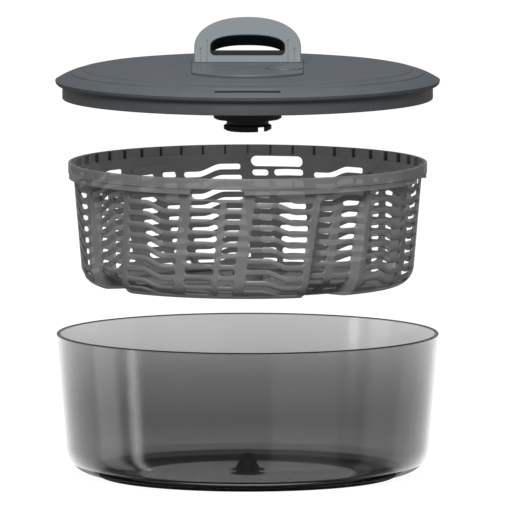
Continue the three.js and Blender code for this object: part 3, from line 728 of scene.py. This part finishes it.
def flute_depth(angle, along):
    """How far the wall is pressed in: every fourth panel is a flute with an arched top."""
    panel, past = panel_place(angle, along)
    across = (past - SLOT_ANGLE / 2) * MM_PER_DEGREE
    half_height = FLUTE_HEIGHT / 2
    inside = -rounded_box_distance(
        across, along - (FLUTE_TOP_Z - half_height), FLUTE_HALF_ANGLE * MM_PER_DEGREE, half_height, 9.0
    )
    low_share = np.clip(1 - along / WALL_CORNER_Z, 0, 1)
    depth = FLUTE_DEPTH + FLUTE_FLOOR_DEPTH * smoothstep(0, 1, low_share)
    return np.where(panel % KINDS == FLUTED, depth * smoothstep(0.0, 3.2, inside), 0)


def wall_outer(along):
    """Radius and height of the wall's outer face at places along it, and the way the face looks."""
    corner = along < WALL_CORNER_Z
    turn = np.clip((WALL_CORNER_Z - along) / CORNER_LENGTH, 0, 1) * math.pi / 2
    z = np.where(corner, WALL_CORNER_Z * (1 - np.sin(turn)), along)
    on_floor = np.maximum(WALL_CORNER_Z - CORNER_LENGTH - along, 0)
    r = WALL_LOWER_R + (WALL_TOP_R - WALL_LOWER_R) * (z - WALL_CORNER_Z) / (COLLAR_Z - WALL_CORNER_Z)
    corner_r = FLOOR_EDGE_R + (WALL_LOWER_R - FLOOR_EDGE_R) * np.cos(turn) - on_floor
    r = np.where(corner, corner_r, r)
    normal_r = np.where(corner, np.cos(turn), 1.0)
    normal_z = np.where(corner, -np.sin(turn), 0.0)
    return r, z, normal_r, normal_z


def wall_rows():
    """Places along the wall, from the floor's edge up to the rim, closer together at the steps."""
    bottom = WALL_CORNER_Z - CORNER_LENGTH - (FLOOR_EDGE_R - FLOOR_JOIN_R)
    even = np.arange(bottom, BASKET_TOP - 0.8, 1.0)
    steps = []
    for edge in (COLLAR_Z, LEDGE_Z, BAND_TOP_Z):
        steps += [edge - 0.35, edge - 0.02, edge + 0.02, edge + 0.35]
    rim = [BASKET_TOP - 0.6, BASKET_TOP - 0.3, BASKET_TOP - 0.12, BASKET_TOP]
    kept = [z for z in even if min(abs(z - s) for s in steps) > 0.3]
    return np.array(sorted([*kept, *steps, *rim]))


def numbered(index, items, key, item):
    """The number of an item in a list, which it joins if its key is new."""
    if key not in index:
        index[key] = len(items)
        items.append(item)
    return index[key]


def pierced_wall():
    """The wall, collar and floor's edge as one skin on a fine grid, cut exactly at its openings.

    Returns (angle, along, distance) for each of its vertices, and its faces.
    """
    rows = wall_rows()
    columns = PANELS * COLUMNS_PER_PANEL
    distance = wall_distance(*np.meshgrid(np.arange(columns) * 360 / columns, rows))
    distance[:2] = UNCUT
    distance[-6:] = UNCUT
    nodes, faces, index = [], [], {}

    def grid_vertex(row, column):
        """The vertex on a point of the grid."""
        node = (column * 360 / columns, rows[row], distance[row, column % columns])
        return numbered(index, nodes, (row, column % columns), node)

    def edge_vertex(one, other):
        """The vertex where an opening's edge crosses the line between two points of the grid."""
        ends = [(row, column % columns) for row, column in (one, other)]
        first, second = (distance[end] for end in ends)
        share = first / (first - second)
        column = one[1] + (other[1] - one[1]) * share
        along = rows[one[0]] + (rows[other[0]] - rows[one[0]]) * share
        return numbered(index, nodes, tuple(sorted(ends)), (column * 360 / columns, along, 0.0))

    solid = distance > 0
    for row in range(len(rows) - 1):
        for column in range(columns):
            corners = [(row, column), (row, column + 1), (row + 1, column + 1), (row + 1, column)]
            inside = [solid[r, c % columns] for r, c in corners]
            if not any(inside):
                continue
            face = []
            for i in range(4):
                if inside[i]:
                    face.append(grid_vertex(*corners[i]))
                if inside[i] != inside[(i + 1) % 4]:
                    face.append(edge_vertex(corners[i], corners[(i + 1) % 4]))
            if len(face) >= 3:
                faces.append(face)
    return np.array(nodes), faces


def wall_surfaces(nodes):
    """Outer and inner points of the wall for its (angle, along, distance) nodes."""
    angle, along, distance = nodes.T
    r, z, normal_r, normal_z = wall_outer(along)
    outer_r = np.where(along > COLLAR_Z, COLLAR_R, r)
    outer_r = np.where((along > COLLAR_Z) & (along < BAND_TOP_Z), COLLAR_R - BAND_DEPTH, outer_r)
    inner_r = np.where(along > LEDGE_Z, COLLAR_R - BASKET_WALL, np.minimum(r, WALL_TOP_R) - BASKET_WALL)
    to_rim = 1 - np.clip((BASKET_TOP - along) / RIM_ROUND, 0, 1)
    rim_round = RIM_ROUND * (1 - np.sqrt(np.clip(1 - to_rim**2, 0, 1)))
    edge = np.clip(1 - distance / EDGE_ROUND, 0, 1)
    rolled = EDGE_ROUND * (1 - np.sqrt(1 - edge * edge)) + rim_round
    depth = flute_depth(angle, along)
    sine, cosine = np.sin(np.radians(angle)), np.cos(np.radians(angle))
    corner = along < WALL_CORNER_Z
    outer_at = np.where(corner, r, outer_r) - rolled * normal_r - depth
    outer_z = z - rolled * normal_z
    inner_at = np.where(corner, r - BASKET_WALL * normal_r, inner_r) + rolled * normal_r - depth
    inner_z = np.where(corner, z - BASKET_WALL * normal_z, z) + rolled * normal_z
    outer = np.stack([outer_at * sine, -outer_at * cosine, outer_z], 1)
    inner = np.stack([inner_at * sine, -inner_at * cosine, inner_z], 1)
    return outer, inner


def basket_wall_mesh():
    """The pierced wall's two skins, closed round every opening and edge."""
    nodes, faces = pierced_wall()
    outer, inner = wall_surfaces(nodes)
    count = len(nodes)
    points = np.concatenate([outer, inner])
    directed = dict.fromkeys(edge for face in faces for edge in zip(face, face[1:] + face[:1]))
    sides = [(b, a, a + count, b + count) for a, b in directed if (b, a) not in directed]
    skins = [tuple(face) for face in faces] + [tuple(i + count for i in reversed(face)) for face in faces]
    return points, skins + sides


def basket_floor_mesh():
    """The floor plate with eight drain slots, on a polar grid."""
    radii = np.arange(SOCKET_R + BASKET_WALL, FLOOR_JOIN_R + 1.6, 1.8)
    columns = 256
    faces, points, index = [], [], {}

    def is_open(r, angle):
        """Whether a place in the floor is in a drain slot."""
        across = r * math.sin(math.radians(angle % DRAIN_ANGLE - DRAIN_ANGLE / 2))
        return DRAIN_LOW_R < r < DRAIN_HIGH_R and abs(across) < DRAIN_HALF

    def vertex(ring, column, top):
        """The vertex on a point of the grid, on the plate's top or under it."""
        angle = math.radians(column % columns * 360 / columns)
        x, y = radii[ring] * math.sin(angle), -radii[ring] * math.cos(angle)
        return numbered(index, points, (ring, column % columns, top), (x, y, BASKET_WALL if top else 0.0))

    kept = set()
    for ring in range(len(radii) - 1):
        middle_r = (radii[ring] + radii[ring + 1]) / 2
        for column in range(columns):
            if not is_open(middle_r, (column + 0.5) * 360 / columns):
                kept.add((ring, column))
    for ring, column in kept:
        corners = [(ring, column), (ring + 1, column), (ring + 1, column + 1), (ring, column + 1)]
        faces.append(tuple(vertex(*corner, True) for corner in corners))
        faces.append(tuple(vertex(*corner, False) for corner in reversed(corners)))
        before, after = (column - 1) % columns, (column + 1) % columns
        neighbours = [(ring, before), (ring + 1, column), (ring, after), (ring - 1, column)]
        for i, neighbour in enumerate(neighbours):
            if neighbour not in kept:
                one, other = corners[(i + 1) % 4], corners[i]
                places = ((one, True), (other, True), (other, False), (one, False))
                faces.append(tuple(vertex(*corner, top) for corner, top in places))
    return points, faces


def basket_socket_mesh():
    """The hollow socket in the middle of the floor, open below."""
    return turned_mesh(rounded([
        (SOCKET_R, 0), (SOCKET_R + BASKET_WALL + 0.5, 0), (SOCKET_R + BASKET_WALL, SOCKET_TOP, 1),
        (0, SOCKET_TOP), (0, SOCKET_TOP - BASKET_WALL), (SOCKET_R, SOCKET_TOP - BASKET_WALL),
    ]), SMALL)


def rim_rib_meshes():
    """The ribs round the inside of the rim, which the drive disc's lugs turn."""
    half, outer_r = RIB_WIDTH / 2, COLLAR_R - BASKET_WALL - 0.02
    rib = block_mesh((-half, RIB_INNER_R, LEDGE_Z + 0.1), (half, outer_r, BASKET_TOP - 0.2), 0.25)
    return around(rib, RIB_COUNT)


def build_basket():
    """The strainer basket."""
    floor = together(basket_floor_mesh(), basket_socket_mesh())
    mesh = together(basket_wall_mesh(), floor, *rim_rib_meshes())
    basket = mesh_object("strainer_basket", *mesh, BASKET_BASE, BASKET_SHARP_ANGLE)
    dress(basket, "basket", "basket_smoke", "basket")


# ---- lid
DOME_RISE = 10.9
DOME_POWER = 7.8
EDGE_Z = 3.4
LID_WALL = 2.2
SKIRT_R = radius("lid_frame")
PANEL_HALF_WIDTH = radius("lid_panel")
PANEL_NOSE, PANEL_BACK = (corner.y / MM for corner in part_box("lid_panel"))
PANEL_SHOULDER = -73  # where the nose's curve would meet the straight sides
PANEL_TOP = high("lid_panel") - LID_SEAT
PANEL_LOW = low("lid_panel") - LID_SEAT
SHOULDER_R = 14
PANEL_CORNER = 8
CORNER_STEPS = 8
NOSE_STEPS = 40
BUTTON_CENTRE = middle("brake_button")
BUTTON_R = half_width("brake_button")
CORD_Y = middle("cord_lead").y
SLOT_HALF = 22.2
SLOT_FRONT_Y = -125.2
SLOT_WIDTH = 2.2
SLOT_BOW = 1.5
SLOT_FLOOR_Z = 3.6
GROOVE_RADII = (121.6, 113.6)
GROOVE_DEPTH = 0.16
ABOVE_LID = 30  # clear of the lid's top, for cutting down into it
PANEL_SLOT_HALF = 10.5
PANEL_SLOT_Y = (-21, -19.4)


def dome_z(r):
    """The height of the lid's dome above its seat."""
    return EDGE_Z + DOME_RISE * (1 - (r / LID_R) ** DOME_POWER)


def arc(centre_x, centre_y, r, first, last, steps):
    """Points round a centre, from one angle to another."""
    angles = [first + (last - first) * i / steps for i in range(steps + 1)]
    return [(centre_x + r * math.cos(a), centre_y + r * math.sin(a)) for a in angles]


def tongue(grow):
    """The raised panel's outline: round-nosed in front, with soft shoulders and round back corners."""
    sagitta = PANEL_SHOULDER - PANEL_NOSE
    nose_r = (PANEL_HALF_WIDTH**2 + sagitta**2) / (2 * sagitta)
    nose_y = PANEL_NOSE + nose_r
    shoulder_x = PANEL_HALF_WIDTH - SHOULDER_R
    shoulder_y = nose_y - math.sqrt((nose_r - SHOULDER_R) ** 2 - shoulder_x**2)
    half_angle = math.atan2(shoulder_x, nose_y - shoulder_y)
    first, last = -math.pi / 2 - half_angle, -math.pi / 2 + half_angle
    corner_x, corner_y = PANEL_HALF_WIDTH + grow - PANEL_CORNER, PANEL_BACK + grow - PANEL_CORNER
    left = arc(-shoulder_x, shoulder_y, SHOULDER_R + grow, -math.pi, first, CORNER_STEPS)
    nose = arc(0, nose_y, nose_r + grow, first, last, NOSE_STEPS)
    back = arc(corner_x, corner_y, PANEL_CORNER, 0, math.pi / 2, CORNER_STEPS)
    return [*left, *nose[1:-1], *mirrored_across(left), *back, *mirrored_across(back)]


def mirrored_across(points):
    """Points of an outline on its other side, in the order that goes on round it."""
    return [(-x, y) for x, y in reversed(points)]


def front_slot(steps=12):
    """The slot in the cover's front edge, gently curved with it."""
    points = []
    for y, order in ((SLOT_FRONT_Y, 1), (SLOT_FRONT_Y + SLOT_WIDTH, -1)):
        row = [(x, y + SLOT_BOW * (x / SLOT_HALF) ** 2) for x in np.linspace(-SLOT_HALF, SLOT_HALF, steps)]
        points += row[::order]
    return points


def lid_outline():
    """The cover's section: rolled edge, dome with two fine grooves, and the hollow underneath."""
    top = [(r, dome_z(r), 0) for r in (LID_R, 129.6, 128, 125.5, 122.4)]
    for r in GROOVE_RADII:
        top += [
            (r, dome_z(r), 0), (r - 0.5, dome_z(r) - GROOVE_DEPTH, 0),
            (r - 1.3, dome_z(r) - GROOVE_DEPTH, 0), (r - 1.8, dome_z(r - 1.8), 0),
        ]
    top += [(r, dome_z(r), 0) for r in (106, 95, 80, 60)]
    below = [(r - 1, dome_z(r) - LID_WALL, 0) for r in (60, 95, 112, 122)]
    inner_r = SKIRT_R + 0.5
    return [
        (inner_r, 0), (129, 0.3, 1), (130.2, 1.4, 1), *top, (0, dome_z(0)),
        (0, dome_z(0) - LID_WALL), *below, (inner_r, 3.3),
    ]


def build_lid_cover():
    """The domed cover with the recess for the panel, the button's well and the front slot, whose back wall
    is painted black as shade.
    """
    cover = turned("lid_dome", rounded(lid_outline(), 0.3), LID_SEAT)
    recess = plate_mesh([tongue(GAP)], PANEL_LOW - GAP, ABOVE_LID, 0.05)
    well = rod_mesh(BUTTON_CENTRE.x, BUTTON_CENTRE.y, BUTTON_R + 0.5, 0, ABOVE_LID, SMALL)
    slot = plate_mesh([front_slot()], SLOT_FLOOR_Z, 20, 0.05)
    combine(cover, "DIFFERENCE", [recess, well, slot])
    dress(cover, "lid", "lid_grey", "lid_cover")
    # The slot's back wall takes black rubber: painted shade for the dark gap in the slot.
    cover.data.materials.append(MATERIALS["rubber_black"])
    for polygon in cover.data.polygons:
        x, y, z = polygon.center / MM
        in_shaded_slot = abs(x) < SLOT_HALF + 0.2 and SLOT_FRONT_Y - 0.2 < y < SLOT_FRONT_Y + 5
        if in_shaded_slot and z < LID_SEAT + 7.5 and polygon.normal.y < -0.9:
            polygon.material_index = 1


def build_lid_panel():
    """The raised tongue-shaped panel with the button's hole and a short slot."""
    front, back, half = *PANEL_SLOT_Y, PANEL_SLOT_HALF
    slot = [(-half, front), (half, front), (half, back), (-half, back)]
    hole = arc(BUTTON_CENTRE.x, BUTTON_CENTRE.y, BUTTON_R + 0.8, 0, 2 * math.pi, 48)[:-1]
    plate = plate_mesh([tongue(0), hole, slot], PANEL_LOW, PANEL_TOP, 0.5)
    dress(mesh_object("lid_tongue_panel", *plate, LID_SEAT), "lid", "panel_grey", "lid_panel")


def build_brake_button():
    """The round brake button with its dished top."""
    bottom = low("brake_button") - LID_SEAT
    top = high("brake_button") - LID_SEAT
    outline = rounded([
        (0, bottom), (3.2, bottom), (3.2, 9), (5.6, 9), (5.6, 11.5), (BUTTON_R, 11.5), (BUTTON_R, top, 0.7),
        (BUTTON_R - 1.8, top, 0.6), (BUTTON_R - 3.4, top - 0.7, 1.2), (4, top - 1.0, 3), (0, top - 1.05),
    ])
    button = turned("brake_button_cap", outline, LID_SEAT, SMALL)
    button.data.transform(Matrix.Translation((BUTTON_CENTRE.x * MM, BUTTON_CENTRE.y * MM, 0)))
    dress(button, "brake", "panel_grey", "brake_button")


def build_brake_spring():
    """The coil spring that lifts the brake button."""
    wire_r, turns, steps, sides = 0.3, 5, 24, 8
    coil_r = half_width("brake_spring") - wire_r
    bottom, top = low("brake_spring") + wire_r, high("brake_spring") - wire_r
    count = turns * steps
    points, faces = [], []
    for i in range(count + 1):
        turn = 2 * math.pi * i / steps
        for out, up in arc(coil_r, bottom + (top - bottom) * i / count, wire_r, 0, 2 * math.pi, sides)[:-1]:
            x, y = out * math.cos(turn), out * math.sin(turn)
            points.append((BUTTON_CENTRE.x + x, BUTTON_CENTRE.y + y, up))
    for one in range(0, count * sides, sides):
        for side in range(sides):
            after, other = (side + 1) % sides, one + sides
            faces.append((one + side, one + after, other + after, other + side))
    last = count * sides
    faces += [tuple(reversed(range(sides))), tuple(range(last, last + sides))]
    spring = mesh_object("brake_coil_spring", points, faces)
    dress(spring, "lid", "steel_bright", "brake_spring")
    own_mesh(spring)


def build_lid_frame():
    """The inner frame: a deck with a hole for the drive, and the skirt that drops into the bowl."""
    bottom = low("lid_frame") - LID_SEAT
    wall, deck_z, deck_top, hole_r = 2, 1, 3, 36
    outline = rounded([
        (SKIRT_R - wall, bottom), (SKIRT_R, bottom, 0.8), (SKIRT_R, deck_top), (hole_r, deck_top),
        (hole_r, deck_z), (SKIRT_R - wall, deck_z, 1.5),
    ])
    skirt = turned("lid_skirt_frame", outline, LID_SEAT)
    dress(skirt, "lid", "frame_grey", "lid_frame")


# ---- drive under the lid
LUG_COUNT = 12
FIRST_LUG = math.radians(3.75)  # midway between two ribs


def build_drive_disc():
    """The dished disc with twelve lugs round its edge that sit between the basket's ribs."""
    disc_r, disc_z, wall = 116.8, -6.6, 2
    dish_r, dish_z, hole_r = 39.5, -17.7, 12
    disc = turned_mesh(rounded([
        (hole_r, dish_z), (dish_r, dish_z, 0.6), (47, disc_z, 2), (disc_r, disc_z), (disc_r, disc_z + wall),
        (45.5, disc_z + wall, 2), (38.2, dish_z + wall, 2), (hole_r, dish_z + wall),
    ]))
    lug = block_mesh((-4, disc_r - 2, disc_z - 1.8), (4, 118.9, disc_z + wall), 0.4)
    drive = mesh_object("drive_disc_shell", *disc, LID_SEAT)
    combine(drive, "UNION", around(lug, LUG_COUNT, FIRST_LUG))
    dress(drive, "drive", "plastic_black", "drive_disc")


def build_lock_cap():
    """The knurled cap: grip ticks round its rim and its lip, and two hooks below."""
    knurl_r, boss_r, lip_r = 23.2, 14.3, 16.3
    ticks = 40

    def knurl(angle, r, z):
        """How far the grip ticks are cut in."""
        on_grip = r > knurl_r - 0.9 or (lip_r - 0.5 < r < lip_r + 0.3 and z < -26)
        return 0.55 * (0.5 + 0.5 * math.cos(ticks * angle)) ** 3 if on_grip else 0.0

    outline = rounded([
        (0, -31.2), (boss_r - 0.6, -31.2, 0.6), (lip_r, -29.8, 0.3), (lip_r, -27.4, 0.3), (boss_r, -26.4),
        (boss_r, -23.2), (knurl_r - 1.6, -23.2, 0.5), (knurl_r, -22.2, 0.3), (knurl_r, -18), (11.8, -18),
        (11.8, -24.3), (6.4, -24.3), (6.4, -29.6), (0, -29.6),
    ], 0.3)
    cap = turned("knurled_lock_cap", outline, LID_SEAT, 4 * ticks, knurl)
    notch = block_mesh((7.2, -20, -40), (11, 20, -27.8), 0.2)
    beside_hook = [block_mesh((-20, y, -40), (-12, y + 16, -26), 0.2) for y in (4, -20)]
    combine(cap, "DIFFERENCE", [notch, *beside_hook])
    dress(cap, "drive", "plastic_black", "lock_cap")


# ---- handle
LEAN = math.radians(28)
HANDLE_BASE = low("handle_front_shell") - LID_SEAT
HALF_WIDTH = radius("handle_front_shell")
HANDLE_SIDE = 10.5
HANDLE_HEIGHT = 33.4
HANDLE_THICKNESS = 19.0
WINDOW_HALF_WIDTH = 25.2
WINDOW_BOTTOM = 5.0
WINDOW_SIDE = 11.5
WINDOW_TOP = 20.0
WINDOW_CORNER = 3.4
BAR_FRONT_Y = 2.6
BAR_BACK_Y = 15.5
BAR_TOP = HANDLE_BASE + 4.35
LIP_TOP = BAR_TOP + 2.3  # the lip behind the bar stands up to here, its faces in the finger hole painted black as shade
SCREW_WAYS = ((30.8, 13.0), (-30.8, 13.0))  # across and up the handle
GROOVES = ((27.5, 16.5), (31.9, 10.5))  # across, and how far up they go
GROOVE_HALF = 0.4
SEAM = 0.1  # half of the gap between the shells


def arch(half_width, side, height, power, steps=18):
    """The upper half of an outline, from the right side over the top to the left."""
    quarter = []
    for i in range(steps + 1):
        angle = i / steps * math.pi / 2
        x = half_width * max(math.cos(angle), 0) ** (2 / power)
        quarter.append((x, side + (height - side) * math.sin(angle) ** (2 / power)))
    return quarter + mirrored_across(quarter[:-1])


def leaning():
    """From the handle's own upright plane to its leaning place on the lid."""
    upright = Matrix.Rotation(math.pi / 2, 4, "X")
    return Matrix.Translation((0, 0, HANDLE_BASE)) @ Matrix.Rotation(-LEAN, 4, "X") @ upright


def cut_below(mesh, height):
    """A closed mesh cut off level at a height, with its cut face closed."""
    work = bmesh.new()
    points, faces = mesh
    verts = [work.verts.new(p) for p in points]
    for face in faces:
        work.faces.new([verts[i] for i in face])
    whole = [*work.verts, *work.edges, *work.faces]
    bmesh.ops.bisect_plane(work, geom=whole, plane_co=(0, 0, height), plane_no=(0, 0, -1), clear_outer=True)
    rim = [e for e in work.edges if e.is_boundary]
    bmesh.ops.triangle_fill(work, use_beauty=True, edges=rim)
    return unpacked(work)


def window_outline():
    """The finger hole: a flat arch over a straight bottom with round corners."""
    centre_x, centre_y = WINDOW_HALF_WIDTH - WINDOW_CORNER, WINDOW_BOTTOM + WINDOW_CORNER
    left = arc(-centre_x, centre_y, WINDOW_CORNER, math.pi, 1.5 * math.pi, 6)
    return arch(WINDOW_HALF_WIDTH, WINDOW_SIDE, WINDOW_TOP, 2.4) + left + mirrored_across(left)


def paint_window_shade(shell):
    """Paints the finger hole's inside faces black rubber: painted shade for the dark hollow."""
    # Painted shade: the hole's inner faces, with the bar's top and the lip behind it, take black rubber.
    shell.data.materials.append(MATERIALS["rubber_black"])
    upright = (Matrix.Translation((0, 0, LID_SEAT)) @ leaning()).inverted()
    for polygon in shell.data.polygons:
        across, up, depth = upright @ (polygon.center / MM)
        in_shaded_window = abs(across) < WINDOW_HALF_WIDTH + 0.5 and WINDOW_BOTTOM - 0.5 < up < WINDOW_TOP + 0.5
        if in_shaded_window and -HANDLE_THICKNESS + 0.5 < depth < -0.5:
            polygon.material_index = 1


def handle_body():
    """The handle before it is split: an arch with its finger hole, leaning and cut off level below."""
    outline = [(-HALF_WIDTH, -12), (HALF_WIDTH, -12), *arch(HALF_WIDTH, HANDLE_SIDE, HANDLE_HEIGHT, 2.2)]
    upright = plate_mesh([outline, window_outline()], -HANDLE_THICKNESS, 0, 0.6)
    return cut_below(moved(upright, leaning()), HANDLE_BASE)


def build_handle():
    """Two shells that meet on the middle plane, with a level bar across the finger hole's foot."""
    back, middle_plane, wide = -HANDLE_THICKNESS, -HANDLE_THICKNESS / 2, 60
    reach = WINDOW_HALF_WIDTH + 1
    bar = block_mesh((-reach, BAR_FRONT_Y, HANDLE_BASE), (reach, BAR_BACK_Y, BAR_TOP), 0.4)
    lip = block_mesh((-reach, BAR_BACK_Y - 4, HANDLE_BASE), (reach, BAR_BACK_Y, LIP_TOP), 0.4)
    cord_ways = [rod_mesh(0, CORD_Y, 1.4, 10, 18), rod_mesh(0, CORD_Y, 2.5, 17, 19.4)]
    back_half = box_mesh((-wide, -wide, -wide), (wide, wide, middle_plane + SEAM))
    front_cuts = [
        box_mesh((side * x - GROOVE_HALF, -12, -0.9), (side * x + GROOVE_HALF, up, 1))
        for side in (1, -1) for x, up in GROOVES
    ]
    front_cuts += [rod_mesh(x, y, 1.8, middle_plane - 1, -4) for x, y in SCREW_WAYS]
    front_half = box_mesh((-wide, -wide, middle_plane - SEAM), (wide, wide, wide))
    back_cuts = [rod_mesh(x, y, 1.8, back, 1) for x, y in SCREW_WAYS]
    back_cuts += [rod_mesh(x, y, 3.1, -wide, back + 2.4) for x, y in SCREW_WAYS]
    whole, face = handle_body(), (0, -math.cos(LEAN), math.sin(LEAN))
    for name, node, cuts in (
        ("handle_front", "handle_front_shell", [back_half, *front_cuts]),
        ("handle_back", "handle_back_shell", [front_half, *back_cuts]),
    ):
        shell = mesh_object(name, *whole, LID_SEAT)
        combine(shell, "UNION", [bar, lip])
        combine(shell, "DIFFERENCE", [*[moved(cut, leaning()) for cut in cuts], *cord_ways], face)
        dress(shell, "handle", "handle_grey", node)
        paint_window_shade(shell)


# ---- cord
def build_cord():
    """The cord's lead from the housing up to the handle's anchor."""
    cord_r, bottom, top = half_width("cord_lead"), low("cord_lead"), high("cord_lead")
    rings, strands = 24, 24
    side = [(cord_r, bottom + (top - bottom) * i / rings) for i in range(rings + 1)]
    cord = turned("pull_cord_lead", [(0, bottom), *side, (0, top)], 0, strands)
    cord.data.transform(Matrix.Translation((0, CORD_Y * MM, 0)))
    cord.data.materials.append(MATERIALS["cord_dark"])
    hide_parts("cord_lead")
    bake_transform(cord)


# ---- CAD pieces that stay
def finish_cad_nodes():
    """Every CAD node that is still shown gets its slot's material."""
    for row in frame["record"]["subparts"]:
        node = frame["nodes"][row["node"]]
        if not node.hide_render:
            node.data.materials.clear()
            node.data.materials.append(MATERIALS[row["material_slot"]])


# ---- studio
AIM = Vector((0.0084, 0, 0.1466))  # the middle of the picture
LIGHT_AIM = Vector((0, 0, 0.15))
CAMERA_RISE = math.radians(5.9)
LENS, SENSOR = 1300, 36  # a very long lens, so that the view is nearly parallel
VIEW_SIZE = 0.3541  # metres that the picture's longer side takes in at the object
FLOOR_HALF = 40
FLOOR_GLOW = 0.95
SKY = 0.3
CARD_ELEVATION = -8
CARD_DISTANCE = 1.6
CARD_HEIGHT = 1.8
# Azimuth, elevation, distance, width, height and power
LAMPS = {"key": (-3, 38, 3.0, 1.6, 1.2, 105), "top": (0, 88, 2.4, 1.8, 1.8, 34)}
# What the bowl mirrors: first and last azimuth, radiance
CARDS = {
    "left_far_card": (-178, -106, 1.05),
    "left_card": (-104, -85, 2.8),
    "left_strip": (-76, -69, 7.5),
    "right_card": (15, 57, 0.6),
    "right_side_card": (77, 108, 0.7),
    "right_far_card": (108, 178, 1.05),
}


def look_from(obj, aim, back, distance):
    """Puts a camera or light at a distance from a point, looking at it."""
    obj.location = aim + back * distance
    obj.rotation_mode = "QUATERNION"
    obj.rotation_quaternion = back.to_track_quat("Z", "Y")


def area_light(name, azimuth, elevation, distance, width, height, power):
    """A soft panel that faces the object. Azimuth 0 is in front and grows towards +X."""
    light = bpy.data.lights.new(name, "AREA")
    light.shape = "RECTANGLE"
    light.size, light.size_y = width, height
    light.energy = power
    lamp = placed(name, light)
    turn, rise = math.radians(azimuth), math.radians(elevation)
    away = Vector((math.sin(turn) * math.cos(rise), -math.cos(turn) * math.cos(rise), math.sin(rise)))
    look_from(lamp, LIGHT_AIM, away, distance)
    lamp.visible_camera = False
    return lamp


def reflected_card(name, piece, first_azimuth, last_azimuth, radiance):
    """A tall card between two azimuths that only one piece mirrors."""
    width = 2 * CARD_DISTANCE * math.tan(math.radians(last_azimuth - first_azimuth) / 2)
    power = radiance * math.pi * width * CARD_HEIGHT
    azimuth = (first_azimuth + last_azimuth) / 2
    lamp = area_light(name, azimuth, CARD_ELEVATION, CARD_DISTANCE, width, CARD_HEIGHT, power)
    lamp.visible_diffuse = False
    reached = bpy.data.collections.new(name)
    reached.objects.link(piece)
    lamp.light_linking.receiver_collection = reached


def pale_floor():
    """Faintly mottled pale paper that glows, so that it shows no edge against the sky."""
    material, tree = node_tree("pale floor")
    paper = object_noise(tree, 30, 3)
    tone = colour_between(tree, paper, (0.14, 0.14, 0.14), (0.16, 0.16, 0.16))
    lit = add(tree, "BsdfDiffuse", {"Color": tone})
    glow = add(tree, "Emission", {"Color": (1, 1, 1, 1), "Strength": FLOOR_GLOW})
    return finished(material, add(tree, "AddShader", {0: lit, 1: glow}))


def build_floor():
    """The table, which the pieces neither mirror nor take light from."""
    floor = bpy.data.meshes.new("floor")
    corners = [(x * FLOOR_HALF, y * FLOOR_HALF, 0) for x, y in ((-1, -1), (1, -1), (1, 1), (-1, 1))]
    floor.from_pydata(corners, [], [(0, 1, 2, 3)])
    floor.materials.append(pale_floor())
    sheet = placed("floor", floor)
    sheet.visible_diffuse = False
    sheet.visible_glossy = False


def build_lights(bowl):
    """A pale sky, a big soft light in front and one above, and the cards that the bowl mirrors."""
    world = bpy.data.worlds.new("studio")
    bpy.context.scene.world = world
    world.use_nodes = True
    background = world.node_tree.nodes["Background"]
    background.inputs["Color"].default_value = (1, 1, 1, 1)
    background.inputs["Strength"].default_value = SKY
    for name, lamp in LAMPS.items():
        area_light(name, *lamp)
    for name, card in CARDS.items():
        reflected_card(name, bowl, *card)


def build_camera():
    """The camera at the photograph's viewing angle."""
    camera = bpy.data.cameras.new("camera")
    camera.lens = LENS
    camera.sensor_width = SENSOR
    eye = placed("camera", camera)
    back = Vector((0, -math.cos(CAMERA_RISE), math.sin(CAMERA_RISE)))
    look_from(eye, AIM, back, VIEW_SIZE * LENS / SENSOR)
    bpy.context.scene.camera = eye
    bpy.context.scene.view_settings.view_transform = "Standard"


build_camera()
build_lights(build_bowl())
build_floor()
build_basket()
build_lid_cover()
build_lid_panel()
build_brake_button()
build_brake_spring()
build_lid_frame()
build_drive_disc()
build_lock_cap()
build_handle()
build_cord()
finish_cad_nodes()
